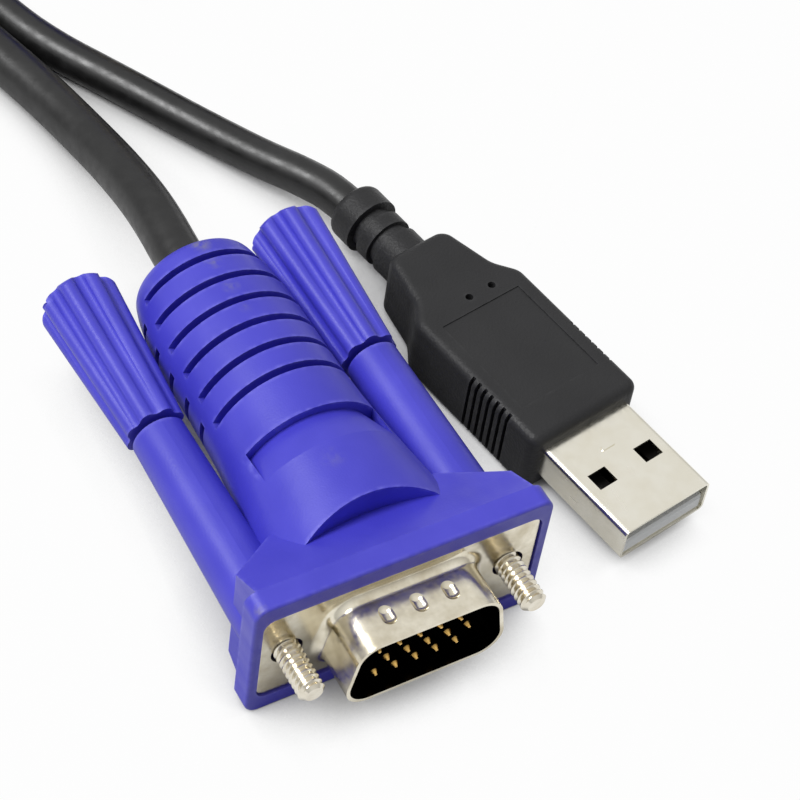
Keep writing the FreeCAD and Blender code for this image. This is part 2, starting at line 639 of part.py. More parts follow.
def flat_contact_slot(x, grow):
    """Channel or strip of one contact on the tongue's top face."""
    end = FLAT_SHELL_REACH + FLAT_SHELL_BURIED
    return brick(FLAT_CONTACT_WIDTH + 2 * grow, FLAT_CONTACT_AT - grow, end, -FLAT_CONTACT_SHEET, 0.0, x)


def tongue():
    """Moulded tongue on the lower half of the shell's mouth, with a channel for each contact."""
    end = FLAT_SHELL_REACH + FLAT_SHELL_BURIED
    width = FLAT_SHELL_WIDTH - 2 * (FLAT_SHELL_SHEET + TONGUE_PLAY)
    body = brick(width, TONGUE_SET_BACK, end, -TONGUE_THICKNESS, 0.0)
    under = [edge for edge in body.Edges if edge.BoundBox.ZMax < 1e-6 - TONGUE_THICKNESS]
    keels = [edge for edge in under if edge.BoundBox.XLength < 1e-6]
    body = body.makeFillet(FLAT_SHELL_CORNER - FLAT_SHELL_SHEET, keels)
    front = [edge for edge in body.Edges if edge.BoundBox.YMax < TONGUE_SET_BACK + 1e-6]
    mouth = [edge for edge in front if edge.Length > width / 2]
    body = body.makeChamfer(TONGUE_CHAMFER, mouth)
    return body.cut([flat_contact_slot(x, TONGUE_PLAY) for x in FLAT_CONTACT_PLACES])


def flat_contacts():
    """Four spring contacts on the tongue, one solid each."""
    return Part.makeCompound([flat_contact_slot(x, 0.0) for x in FLAT_CONTACT_PLACES])


def flat_body():
    """Overmould of the flat plug: waisted, with soft edges, side grips, a bare panel and a ringed relief."""
    front = FLAT_BODY_FRONT
    low = -FLAT_BODY_HEIGHT / 2
    side = [
        (FLAT_BODY_WIDTH / 2, front, FLAT_FRONT_ROUND),
        (FLAT_BODY_WIDTH / 2, front + FLAT_BODY_STRAIGHT, FLAT_SHOULDER_ROUND),
        (FLAT_WAIST_WIDTH / 2, front + FLAT_WAIST_AT, FLAT_WAIST_ROUND),
        (FLAT_BODY_REAR_WIDTH / 2, front + FLAT_BODY_LENGTH, FLAT_REAR_ROUND),
    ]
    plan = side + [(-x, y, radius) for x, y, radius in reversed(side)]
    outline = loop([Vector(x, y, low) for x, y, _ in plan], [radius for _, _, radius in plan])
    body = block(outline, UP * FLAT_BODY_HEIGHT)
    rims = [edge for edge in body.Edges if edge.BoundBox.ZLength < 1e-6]
    body = body.makeFillet(FLAT_EDGE_ROUND, rims)
    relief_start = front + FLAT_BODY_LENGTH - FLAT_REAR_ROUND
    relief = ringed_relief(relief_start, RING_NECK + FLAT_REAR_ROUND, RING_LENGTH, COLLAR_LENGTH)
    top = FLAT_BODY_HEIGHT / 2
    grips = side_grips(FLAT_BODY_WIDTH, front, low, top)
    panel_start = front + PANEL_AT
    panel = brick(PANEL_WIDTH, panel_start, panel_start + PANEL_LENGTH, top - PANEL_DEPTH, top)
    marks = [
        Part.makeCylinder(MARK_DIAMETER / 2, MARK_DEPTH, Vector(x, front + MARK_AT, top - MARK_DEPTH), UP)
        for x in MARK_PLACES
    ]
    end = FLAT_SHELL_REACH + FLAT_SHELL_BURIED
    socket = rectangle(FLAT_SHELL_WIDTH, FLAT_SHELL_HEIGHT, FLAT_SHELL_CORNER, front)
    well = block(socket, REAR * (end - front))
    bore = rod(DATA_CORD_DIAMETER, FLAT_PLUG_LENGTH - CORD_IN_DATA_PLUG, FLAT_PLUG_LENGTH)
    return body.fuse(relief).cut(grips + [panel, well, bore] + marks).removeSplitter()


def square_outline(shrink, y):
    """Outline of the square plug's shell, with its two upper corners cut off."""
    x = SQUARE_SHELL_WIDTH / 2 - shrink
    z = SQUARE_SHELL_HEIGHT / 2 - shrink
    cut = SQUARE_SHELL_CHAMFER - shrink * (2 - math.sqrt(2))
    corners = [(-x, -z), (x, -z), (x, z - cut), (x - cut, z), (cut - x, z), (-x, z - cut)]
    radii = [SQUARE_SHELL_CORNER - shrink / 2] * len(corners)
    return loop([Vector(across, y, up) for across, up in corners], radii)


def square_shell():
    """Folded steel shell of the square plug."""
    end = SQUARE_SHELL_REACH + SQUARE_SHELL_BURIED
    outer = block(square_outline(0.0, 0.0), REAR * end)
    return outer.cut(block(square_outline(SQUARE_SHELL_SHEET, 0.0), REAR * end))


def square_core():
    """Insulator of the square plug, with the cavity that the socket's post goes into."""
    end = SQUARE_SHELL_REACH + SQUARE_SHELL_BURIED
    body = block(square_outline(SQUARE_SHELL_SHEET + CORE_PLAY, CORE_SET_BACK), REAR * (end - CORE_SET_BACK))
    high = CORE_CAVITY_HEIGHT / 2
    return body.cut(brick(CORE_CAVITY_WIDTH, CORE_SET_BACK, CORE_SET_BACK + CORE_CAVITY_DEPTH, -high, high))


def square_contacts():
    """Four contact strips, two on the roof and two on the floor of the cavity."""
    start = CORE_SET_BACK + CORE_CAVITY_DEPTH / 4
    end = CORE_SET_BACK + CORE_CAVITY_DEPTH
    high = CORE_CAVITY_HEIGHT / 2
    low = high - SQUARE_CONTACT_SHEET
    strips = []
    for side in (-1, 1):
        roof = brick(SQUARE_CONTACT_WIDTH, start, end, low, high, side * SQUARE_CONTACT_SPACING / 2)
        strips += mirrored_up(roof)
    return Part.makeCompound(strips)


def square_body():
    """Overmould of the square plug with side grips and a ringed relief."""
    front = SQUARE_SHELL_REACH
    rear = front + SQUARE_BODY_LENGTH
    wire = rectangle(SQUARE_BODY_WIDTH, SQUARE_BODY_HEIGHT, SQUARE_BODY_ROUND, front)
    body = block(wire, REAR * SQUARE_BODY_LENGTH)
    ends = [edge for edge in body.Edges if edge.BoundBox.YLength < 1e-6]
    body = body.makeFillet(SQUARE_BODY_REAR_ROUND, ends)
    relief_start = rear - SQUARE_BODY_REAR_ROUND
    neck = SQUARE_RING_NECK + SQUARE_BODY_REAR_ROUND
    relief = ringed_relief(relief_start, neck, SQUARE_RING_LENGTH, SQUARE_COLLAR_LENGTH)
    top = SQUARE_BODY_HEIGHT / 2
    grips = side_grips(SQUARE_BODY_WIDTH, front, -top, top)
    well = block(square_outline(0.0, front), REAR * SQUARE_SHELL_BURIED)
    bore = rod(DATA_CORD_DIAMETER, SQUARE_PLUG_LENGTH - CORD_IN_DATA_PLUG, SQUARE_PLUG_LENGTH)
    return body.fuse(relief).cut(grips + [well, bore]).removeSplitter()


# Cords, coil and tie

def cord_path(name, route):
    """Straight runs joined by tangent arcs, each as large as its two runs allow."""
    points = [Vector(*point) for point in route]
    edges = []
    radii = []
    start = points[0]
    for before, corner, after in zip(points, points[1:], points[2:]):
        back = before - corner
        ahead = after - corner
        turn = math.pi - back.getAngle(ahead)
        reach = ARC_SHARE * min(back.Length, ahead.Length)
        radius = reach / math.tan(turn / 2)
        radii.append(radius)
        inwards = (Vector(back).normalize() + Vector(ahead).normalize()).normalize()
        entry = corner + Vector(back).normalize() * reach
        leave = corner + Vector(ahead).normalize() * reach
        crown = corner + inwards * (radius / math.cos(turn / 2) - radius)
        edges.append(Part.LineSegment(start, entry).toShape())
        edges.append(Part.Arc(entry, crown, leave).toShape())
        start = leave
    edges.append(Part.LineSegment(start, points[-1]).toShape())
    print(name, "radii", [round(radius, 1) for radius in radii])
    return Part.Wire(edges)


def cord(name, route, diameter):
    """Plain tube of a cord along its route."""
    path = cord_path(name, route)
    heading = Vector(*route[1]) - Vector(*route[0])
    ring = Part.Wire(Part.makeCircle(diameter / 2, Vector(*route[0]), heading))
    tube = path.makePipeShell([ring], True, False)
    share = tube.Volume / (math.pi * diameter ** 2 / 4 * path.Length)
    print(name, "length", round(path.Length, 1), "volume share", round(share, 4))
    return tube


def coil(outer, inner, diameter, base, top):
    """Outer form of a wound coil."""
    centre = COIL_CENTRE + UP * base
    height = top - base
    ring = Part.makeCylinder(outer + diameter / 2, height, centre)
    ring = ring.cut(Part.makeCylinder(inner - diameter / 2, height, centre))
    rims = [edge for edge in ring.Edges if edge.BoundBox.ZLength < 1e-6]
    return ring.makeFillet(diameter * ARC_SHARE, rims)


def coil_tie():
    """Strap round both coils, on the side towards the plugs, with its free end lapped over its outer side."""
    outer = DISPLAY_COIL_OUTER + DISPLAY_CORD_DIAMETER / 2 + TIE_PLAY
    inner = DATA_COIL_INNER - DATA_CORD_DIAMETER / 2 - TIE_PLAY
    low = DISPLAY_COIL_BASE
    high = DATA_COIL_TOP

    def band(grow):
        y = COIL_CENTRE.y
        corners = [
            Vector(0, y - outer - grow, low - grow), Vector(0, y - inner + grow, low - grow),
            Vector(0, y - inner + grow, high + grow), Vector(0, y - outer - grow, high + grow),
        ]
        wire = loop(corners, [TIE_CORNER + grow] * 4)
        return block(wire, Vector(TIE_WIDTH, 0, 0)).translated(Vector(COIL_CENTRE.x - TIE_WIDTH / 2, 0, 0))

    face = COIL_CENTRE.y - outer - TIE_THICKNESS
    tab = brick(TIE_WIDTH, face - TIE_TAB, face, low + TIE_CORNER, high - TIE_CORNER, COIL_CENTRE.x)
    return band(TIE_THICKNESS).cut(band(0.0)).fuse(tab).removeSplitter()


# Assembly: every node in the part's frame

def display_plug(prefix, place):
    """Nodes of one display plug with its axis at the place."""
    nodes = {
        "hood": hood(),
        "front_shell": front_shell(),
        "rear_shell": rear_shell(),
        "insulator": insulator(),
        "pins": pins(),
        "left_screw": screw(-SCREW_X),
        "right_screw": screw(SCREW_X),
        "left_knob": knob(-SCREW_X, KNOB_LEFT_TURN),
        "right_knob": knob(SCREW_X, KNOB_RIGHT_TURN),
    }
    return {prefix + "_" + name: shape.translated(place) for name, shape in nodes.items()}


def placed(nodes, place, yaw):
    """The nodes of a data plug, turned about the vertical and set in place."""
    placement = Placement(place, Rotation(UP, yaw))
    return {name: shape.transformed(placement.toMatrix()) for name, shape in nodes.items()}


def cord_end(place, yaw, length, buried):
    """Two points on a plug's axis: where its cord ends inside the plug, and just outside it."""
    placement = Placement(place, Rotation(UP, yaw))
    stations = (length - buried, length + CORD_STRAIGHT)
    return [tuple(placement.multVec(Vector(0, y, 0))) for y in stations]


def data_plugs():
    """Nodes of the flat plug on the floor and of the square plug that lies on the coil."""
    flat = {
        "data_plug_body": flat_body(),
        "data_plug_shell": flat_shell(),
        "data_plug_tongue": tongue(),
        "data_plug_contacts": flat_contacts(),
    }
    square = {
        "far_data_plug_body": square_body(),
        "far_data_plug_shell": square_shell(),
        "far_data_plug_core": square_core(),
        "far_data_plug_contacts": square_contacts(),
    }
    return {**placed(flat, DATA_PLUG, DATA_PLUG_YAW), **placed(square, SQUARE_PLUG, 0.0)}


def cords():
    """Nodes of both cords, their coils and the tie."""
    thick, thin = DISPLAY_CORD_DIAMETER, DATA_CORD_DIAMETER
    display_run = cord_end(NEAR_PLUG, 0.0, HOOD_LENGTH, CORD_IN_HOOD) + DISPLAY_RUN
    display_tail = cord_end(FAR_PLUG, 0.0, HOOD_LENGTH, CORD_IN_HOOD) + DISPLAY_TAIL[::-1]
    data_run = cord_end(DATA_PLUG, DATA_PLUG_YAW, FLAT_PLUG_LENGTH, CORD_IN_DATA_PLUG) + DATA_RUN
    data_tail = cord_end(SQUARE_PLUG, 0.0, SQUARE_PLUG_LENGTH, CORD_IN_DATA_PLUG) + DATA_TAIL[::-1]
    base, middle, top = DISPLAY_COIL_BASE, DISPLAY_COIL_TOP, DATA_COIL_TOP
    return {
        "display_cord_run": cord("display_cord_run", display_run, thick),
        "display_cord_tail": cord("display_cord_tail", display_tail, thick),
        "display_cord_coil": coil(DISPLAY_COIL_OUTER, DISPLAY_COIL_INNER, thick, base, middle),
        "data_cord_run": cord("data_cord_run", data_run, thin),
        "data_cord_tail": cord("data_cord_tail", data_tail, thin),
        "data_cord_coil": coil(DATA_COIL_OUTER, DATA_COIL_INNER, thin, middle, top),
        "cord_tie": coil_tie(),
    }


def main():
    """Builds every node and writes one file for each."""
    os.makedirs("parts", exist_ok=True)
    nodes = {**display_plug("display_plug", NEAR_PLUG), **display_plug("far_display_plug", FAR_PLUG)}
    nodes.update(data_plugs())
    nodes.update(cords())
    for name, shape in nodes.items():
        shape.exportStep("parts/" + name + ".step")


main()
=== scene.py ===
"""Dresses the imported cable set: its cords, screw threads, finishes and a plain studio round the CAD frame."""

import logging
import math
from dataclasses import dataclass, replace
from enum import Enum
from typing import Sequence

import bpy
from mathutils import Matrix, Quaternion, Vector


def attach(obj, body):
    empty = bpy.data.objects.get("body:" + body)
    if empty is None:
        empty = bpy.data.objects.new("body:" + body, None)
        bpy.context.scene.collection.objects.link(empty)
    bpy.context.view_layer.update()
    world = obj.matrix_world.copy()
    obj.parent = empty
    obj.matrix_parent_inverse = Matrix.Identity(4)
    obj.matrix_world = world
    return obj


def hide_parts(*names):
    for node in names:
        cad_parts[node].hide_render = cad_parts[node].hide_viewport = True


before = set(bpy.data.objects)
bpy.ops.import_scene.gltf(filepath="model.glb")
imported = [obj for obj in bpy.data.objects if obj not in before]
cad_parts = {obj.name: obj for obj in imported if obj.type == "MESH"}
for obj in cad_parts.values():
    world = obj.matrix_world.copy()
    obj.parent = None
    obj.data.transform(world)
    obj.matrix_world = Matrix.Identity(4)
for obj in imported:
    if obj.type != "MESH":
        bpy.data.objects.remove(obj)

Colour = tuple[float, float, float]
Point = tuple[float, float, float]
Span = tuple[float, float]
Socket = bpy.types.NodeSocket

LOG = logging.getLogger("cable")
MM = 0.001
FULL_TURN = 360.0
WHITE: Colour = (1.0, 1.0, 1.0)
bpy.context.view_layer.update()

# Ends of a fade, and the parts of a noise's range that hold most of its values.
RISING: Span = (0.0, 1.0)
FALLING: Span = (1.0, 0.0)
NOISE_SPAN: Span = (0.3, 0.7)
BLOTCH_SPAN: Span = (0.35, 0.75)


class Slot(Enum):
    """Names of the record's material slots for the cord and the screws."""

    CORD = "cord_black"
    SCREW = "screw_steel"


class Side(Enum):
    """Sides of a display plug, each with the sign of X there."""

    LEFT = -1
    RIGHT = 1


class Detail(Enum):
    """How many octaves of finer noise ride on the blotches."""

    SMOOTH = 1.0
    PLAIN = 3.0
    RICH = 4.0
    RAGGED = 5.0


def metres(place: Sequence[float]) -> tuple[float, ...]:
    """Turns millimetres into metres."""
    return tuple(value * MM for value in place)


class Board:
    """A node tree that is laid out in small named steps."""

    def __init__(self, tree: bpy.types.NodeTree, coordinates: str) -> None:
        """Takes over a tree.

        Args:
            tree: The tree of a material or of the world.
            coordinates: The output of Texture Coordinate that patterns follow.
        """
        self.tree = tree
        self.place = tree.nodes.new("ShaderNodeTexCoord").outputs[coordinates]

    def fill(self, node: bpy.types.Node, inputs: dict[str | int, object]) -> None:
        """Fills some of a node's inputs.

        Args:
            node: The node.
            inputs: Socket name or index to a constant or to another node's output.
        """
        for key, value in inputs.items():
            if isinstance(value, Socket):
                self.tree.links.new(value, node.inputs[key])
            else:
                node.inputs[key].default_value = value

    def node(self, kind: str, inputs: dict[str | int, object], **settings: object) -> bpy.types.Node:
        """Adds a node and fills its inputs.

        Args:
            kind: Blender's name of the node type.
            inputs: Socket name or index to a constant or to another node's output.
            settings: Attributes of the node.

        Returns:
            The new node.
        """
        node = self.tree.nodes.new(kind)
        for key, value in settings.items():
            setattr(node, key, value)
        self.fill(node, inputs)
        return node

    def remap(self, value: Socket, source: Span, target: Span = RISING) -> Socket:
        """Maps a range of values to another one, with the ends clamped.

        Args:
            value: The value socket.
            source: Low and high end of the value.
            target: What they become.

        Returns:
            The mapped socket.
        """
        ends = {"From Min": source[0], "From Max": source[1], "To Min": target[0], "To Max": target[1]}
        return self.node("ShaderNodeMapRange", {"Value": value, **ends}).outputs["Result"]

    def maths(self, operation: str, *values: Socket | float) -> Socket:
        """Joins values with one arithmetic step.

        Args:
            operation: Blender's name of the step.
            values: The values, in the step's order.

        Returns:
            The result socket.
        """
        return self.node("ShaderNodeMath", dict(enumerate(values)), operation=operation).outputs["Value"]

    def vectors(self, operation: str, *values: Socket | Point) -> bpy.types.Node:
        """Joins vectors with one step.

        Args:
            operation: Blender's name of the step.
            values: The vectors, in the step's order.

        Returns:
            The node, with the new vector or value among its outputs.
        """
        return self.node("ShaderNodeVectorMath", dict(enumerate(values)), operation=operation)

    def along(self, axis: str) -> Socket:
        """The surface's place along one axis."""
        return self.node("ShaderNodeSeparateXYZ", {"Vector": self.place}).outputs[axis]

    def offset(self, point: Point) -> Socket:
        """The way from a point, in millimetres, to the surface."""
        return self.vectors("SUBTRACT", self.place, metres(point)).outputs["Vector"]

    def straight(self) -> Socket:
        """Tests whether the eye sees a surface straight."""
        return self.node("ShaderNodeLightPath", {}).outputs["Is Camera Ray"]

    def seen(self) -> Socket:
        """Tests whether the eye sees a surface straight, in a reflection or through something.

        Returns:
            A socket of 1 where it is seen and 0 where it only lights the rest.
        """
        path = self.node("ShaderNodeLightPath", {})
        seen = path.outputs["Is Camera Ray"]
        for kind in ("Is Glossy Ray", "Is Transmission Ray"):
            seen = self.maths("MAXIMUM", seen, path.outputs[kind])
        return seen


class Sheet(Board):
    """One material's board, round its main shader."""

    EDGE_SPAN: Span = (0.62, 0.96)
    SPOT_CORE = 0.25

    # Sockets of a Mix node that blends colours, where their names are taken by those for plain values.
    MIX_SHARE, MIX_LOW, MIX_HIGH = 0, 6, 7
    MIX_RESULT = 2

    def __init__(self, name: str) -> None:
        """Starts a material.

        Args:
            name: The material's name.
        """
        self.material = bpy.data.materials.new(name)
        self.material.use_nodes = True
        super().__init__(self.material.node_tree, "Object")
        self.shader = self.tree.nodes["Principled BSDF"]

    def stretched(self, scale: Point) -> Socket:
        """Object coordinates scaled by a factor along each axis."""
        return self.node("ShaderNodeMapping", {"Vector": self.place, "Scale": scale}).outputs["Vector"]

    def noise(self, size_mm: float, detail: Detail = Detail.PLAIN, vector: Socket | None = None) -> Socket:
        """Noise whose blotches are about the given size.

        Args:
            size_mm: Size of a blotch.
            detail: How much finer noise rides on it.
            vector: Coordinates, or None for plain Object coordinates.

        Returns:
            The value socket.
        """
        inputs = {"Vector": vector or self.place, "Scale": 1.0 / (size_mm * MM), "Detail": detail.value}
        return self.node("ShaderNodeTexNoise", inputs).outputs["Fac"]

    def mix(self, share: Socket, low: Colour | Socket, high: Colour | Socket) -> Socket:
        """Blends two colours.

        Args:
            share: 0 for the low colour and 1 for the high one.
            low: First colour, or the socket that gives it.
            high: Second colour, or the socket that gives it.

        Returns:
            The colour socket.
        """
        inputs = {self.MIX_SHARE: share}
        for key, end in ((self.MIX_LOW, low), (self.MIX_HIGH, high)):
            inputs[key] = end if isinstance(end, Socket) else (*end, 1.0)
        return self.node("ShaderNodeMix", inputs, data_type="RGBA").outputs[self.MIX_RESULT]

    def openness(self, reach_mm: float, samples: int = 6, inside: bool = False) -> Socket:
        """How much of the room at the surface is empty.

        Args:
            reach_mm: How far the room reaches.
            samples: How many rays test it.
            inside: True for the room under the surface, with the piece's own faces as its walls.

        Returns:
            A value from 0 where it is closed in to 1 in the open.
        """
        settings = {"samples": samples, "inside": inside, "only_local": inside}
        return self.node("ShaderNodeAmbientOcclusion", {"Distance": reach_mm * MM}, **settings).outputs["AO"]

    def edges(self, reach_mm: float) -> Socket:
        """Outer edges of the piece, where its other side lies near under the surface.

        Args:
            reach_mm: How far the wear reaches in from an edge.

        Returns:
            A value from 0 on the flats to 1 on the sharpest edges.
        """
        return self.remap(self.openness(reach_mm, inside=True), self.EDGE_SPAN, FALLING)

    def spot(self, centre: Point, radius_mm: float) -> Socket:
        """Round soft patch about a point.

        Args:
            centre: The point in millimetres.
            radius_mm: Where the patch ends.

        Returns:
            A value from 1 in the middle to 0 outside.
        """
        away = self.vectors("DISTANCE", self.place, metres(centre)).outputs["Value"]
        return self.remap(away, (self.SPOT_CORE * radius_mm * MM, radius_mm * MM), FALLING)

    def feed(self, socket: str, value: Socket | float | tuple[float, ...]) -> None:
        """Gives one of the shader's sockets a constant or a link."""
        self.fill(self.shader, {socket: value})

    def roughen(self, marks: Socket, middle: float, spread: Span) -> None:
        """Varies the roughness about a middle value.

        Args:
            marks: Noise that is high where the surface is duller.
            middle: Roughness between the marks.
            spread: How far it falls and rises from there.
        """
        self.feed("Roughness", self.remap(marks, NOISE_SPAN, (middle + spread[0], middle + spread[1])))

    def bump(self, height: Socket, depth_mm: float, strength: float) -> None:
        """Raises the surface by a height map.

        Args:
            height: The height socket.
            depth_mm: Rise for a height of 1.
            strength: Share of the effect.
        """
        inputs = {"Height": height, "Distance": depth_mm * MM, "Strength": strength}
        self.feed("Normal", self.node("ShaderNodeBump", inputs).outputs["Normal"])


@dataclass(frozen=True)
class Finish:
    """A finish that is built once and worn by any number of pieces."""

    name: str
    colour: Colour

    def material(self) -> bpy.types.Material:
        """Builds the material.

        Returns:
            The new material.
        """
        sheet = Sheet(self.name)
        self.paint(sheet)
        return sheet.material

    def paint(self, sheet: Sheet) -> None:
        """Lays the colour, the roughness and the relief on a sheet."""
        raise NotImplementedError


@dataclass(frozen=True)
class Scuff:
    """A rubbed patch: its middle and radius in millimetres, and how strongly it shows."""

    centre: Point
    radius: float
    share: float


@dataclass(frozen=True)
class MouldedVinyl(Finish):
    """Moulded plastic: satin grain, faint flow streaks, paler worn edges, scuffs and a mould line."""

    mottled: Colour
    worn: Colour
    roughness: float = 0.4
    specular: float = 0.5
    spread: Span = (-0.07, 0.09)
    grain_mm: float = 0.22
    grain_depth_mm: float = 0.05
    grain_strength: float = 0.35
    mottle_mm: float = 7.0
    flows_per_mottle: float = 3.0
    flow: Point = (1.0, 0.2, 1.0)
    edge_mm: float = 0.5
    edge_share: float = 0.6
    wear_mm: float = 0.9
    wear_span: Span = (0.38, 0.66)
    scuffs: tuple[Scuff, ...] = ()
    scuff_mm: float = 0.8
    scuff_span: Span = (0.36, 0.62)
    scuff_colour: Colour = (0.2, 0.19, 0.25)
    mould_line: float | None = None
    line_mm: float = 0.07
    line_rise: float = 3.0

    def tint(self, sheet: Sheet) -> Socket:
        """Mottled colour with the rubbed edges and the scuffs.

        Args:
            sheet: The material's sheet.

        Returns:
            The colour socket.
        """
        mottle = sheet.remap(sheet.noise(self.mottle_mm, Detail.RICH), BLOTCH_SPAN)
        colour = sheet.mix(mottle, self.colour, self.mottled)
        patchy = sheet.remap(sheet.noise(self.wear_mm, Detail.RICH), self.wear_span, (0.0, self.edge_share))
        colour = sheet.mix(sheet.maths("MULTIPLY", sheet.edges(self.edge_mm), patchy), colour, self.worn)
        for scuff in self.scuffs:
            grain = sheet.noise(self.scuff_mm, Detail.RAGGED)
            ragged = sheet.remap(grain, self.scuff_span, (0.0, scuff.share))
            share = sheet.maths("MULTIPLY", sheet.spot(scuff.centre, scuff.radius), ragged)
            colour = sheet.mix(share, colour, self.scuff_colour)
        return colour

    def relief(self, sheet: Sheet) -> Socket:
        """Height map of the grain, with the mould line as a fine ridge.

        Args:
            sheet: The material's sheet.

        Returns:
            The height socket.
        """
        grain = sheet.noise(self.grain_mm)
        if self.mould_line is None:
            return grain
        on_line = sheet.maths("COMPARE", sheet.along("Z"), self.mould_line * MM, self.line_mm * MM)
        return sheet.maths("ADD", grain, sheet.maths("MULTIPLY", on_line, self.line_rise))

    def paint(self, sheet: Sheet) -> None:
        """Lays the colour, the flow streaks and the grain on a sheet.

        Args:
            sheet: The material's sheet.
        """
        sheet.feed("Base Color", self.tint(sheet))
        sheet.feed("Specular IOR Level", self.specular)
        flow_mm = self.mottle_mm / self.flows_per_mottle
        streaks = sheet.noise(flow_mm, vector=sheet.stretched(self.flow))
        sheet.roughen(streaks, self.roughness, self.spread)
        sheet.bump(self.relief(sheet), self.grain_depth_mm, self.grain_strength)


@dataclass(frozen=True)
class InsertWithPaintedShade(MouldedVinyl):
    """Moulded insert of a plug, painted dark as shade where other pieces close it in."""

    # Painted shade: colour laid where other pieces close the insert in.
    painted_shade_colour: Colour = (0.012, 0.011, 0.010)
    reach_mm: float = 6.0
    open_span: Span = (0.2, 0.5)

    def dark(self, sheet: Sheet) -> Socket:
        """Where the painted shade lies, from 0 in the open to 1 deep inside."""
        return sheet.remap(sheet.openness(self.reach_mm), self.open_span, FALLING)

    def tint(self, sheet: Sheet) -> Socket:
        """The moulding's colour with the painted shade over it."""
        return sheet.mix(self.dark(sheet), super().tint(sheet), self.painted_shade_colour)


@dataclass(frozen=True)
class MouthInsert(InsertWithPaintedShade):
    """Moulded insert in its plain colour at the mouth of its plug and painted dark as shade behind it.
    Millimetres.
    """

    mouth: Point = (0.0, 0.0, 0.0)
    inward: Point = (0.0, 1.0, 0.0)
    shade_starts_at: float = 1.5
    shade_full_at: float = 3.0

    def dark(self, sheet: Sheet) -> Socket:
        """Where the painted shade lies, from 0 at the mouth to 1 behind it."""
        behind = sheet.vectors("DOT_PRODUCT", sheet.offset(self.mouth), self.inward).outputs["Value"]
        return sheet.remap(behind, metres((self.shade_starts_at, self.shade_full_at)))


@dataclass(frozen=True)
class PlatedMetal(Finish):
    """Bright plated metal with faint handling marks on a slightly wavy face."""

    tarnish: Colour
    roughness: float = 0.2
    spread: Span = (-0.05, 0.06)
    blotch_mm: float = 2.4
    streak: Point = (1.0, 1.0, 1.0)
    streak_mm: float = 0.6
    streak_depth_mm: float = 0.0015
    wave_mm: float = 6.0
    wave_depth_mm: float = 0.06

    def tint(self, sheet: Sheet) -> Socket:
        """Colour of the plating with its duller blotches."""
        return sheet.mix(sheet.remap(sheet.noise(self.blotch_mm), BLOTCH_SPAN), self.colour, self.tarnish)

    def paint(self, sheet: Sheet) -> None:
        """Lays the plating, its streaks and its waves on a sheet.

        Args:
            sheet: The material's sheet.
        """
        sheet.feed("Base Color", self.tint(sheet))
        sheet.feed("Metallic", 1.0)
        streaks = sheet.noise(self.streak_mm, vector=sheet.stretched(self.streak))
        sheet.roughen(streaks, self.roughness, self.spread)
        waves = sheet.maths("MULTIPLY", sheet.noise(self.wave_mm, Detail.SMOOTH), self.wave_depth_mm)
        marks = sheet.maths("MULTIPLY", streaks, self.streak_depth_mm)
        sheet.bump(sheet.maths("ADD", waves, marks), depth_mm=1.0, strength=1.0)


@dataclass(frozen=True)
class DrawnShell(PlatedMetal):
    """Plated shell whose inner wall is painted dark as shade. Millimetres.

    The axis is a point on the plug's middle line, which lies along Y. A face belongs to the inner wall
    if it is turned towards that line and lies within reach of it.
    """

    axis: Point = (0.0, 0.0, 0.0)
    reach: float = 9.6
    turned: float = 0.4
    # Painted shade: colour laid on the inner wall to stand for the shade inside the shell.
    inner: Colour = (0.02, 0.019, 0.017)

    def tint(self, sheet: Sheet) -> Socket:
        """Colour of the plating outside and the painted shade on the wall inside.

        Args:
            sheet: The material's sheet.

        Returns:
            The colour socket.
        """
        off_axis = (1.0, 0.0, 1.0)
        across = sheet.vectors("MULTIPLY", sheet.offset(self.axis), off_axis).outputs["Vector"]
        face = sheet.node("ShaderNodeNewGeometry", {}).outputs["True Normal"]
        outward = sheet.vectors("DOT_PRODUCT", face, across).outputs["Value"]
        away = sheet.vectors("LENGTH", across).outputs["Value"]
        faces_in = sheet.maths("LESS_THAN", outward, -self.turned * MM)
        within = sheet.maths("LESS_THAN", away, self.reach * MM)
        # Paints the inner wall dark, as painted shade.
        return sheet.mix(sheet.maths("MULTIPLY", faces_in, within), super().tint(sheet), self.inner)


@dataclass(frozen=True)
class RodWithPaintedShade(PlatedMetal):
    """Plated rod along Y, in its plain colour as far as one place and painted dark as shade from the next one
    on. Millimetres.
    """

    plain_to: float = 0.0
    painted_shade_from: float = 1.0
    # Painted shade: colour laid on the shaft to stand for the shade deep inside the plug.
    painted_shade: Colour = (0.05, 0.03, 0.008)

    def tint(self, sheet: Sheet) -> Socket:
        """Colour of the plating at the tip, going over to painted shade along the shaft."""
        behind = sheet.remap(sheet.along("Y"), metres((self.plain_to, self.painted_shade_from)))
        # Paints the shaft behind the tip dark, as painted shade.
        return sheet.mix(behind, super().tint(sheet), self.painted_shade)


@dataclass(frozen=True)
class CordSheath(Finish):
    """Extruded vinyl sheath: smooth, with fine waves and dusty spots."""

    dusty: Colour
    roughness: float = 0.34
    spread: Span = (-0.05, 0.1)
    dust_mm: float = 3.0
    dust_span: Span = (0.45, 0.8)
    dull_mm: float = 1.2
    wave_mm: float = 0.5
    wave_depth_mm: float = 0.04
    wave_strength: float = 0.3

    def paint(self, sheet: Sheet) -> None:
        """Lays the sheath's colour, dust and waves on a sheet.

        Args:
            sheet: The material's sheet.
        """
        dust = sheet.remap(sheet.noise(self.dust_mm, Detail.RAGGED), self.dust_span)
        sheet.feed("Base Color", sheet.mix(dust, self.colour, self.dusty))
        sheet.roughen(sheet.noise(self.dull_mm), self.roughness, self.spread)
        sheet.bump(sheet.noise(self.wave_mm), self.wave_depth_mm, self.wave_strength)


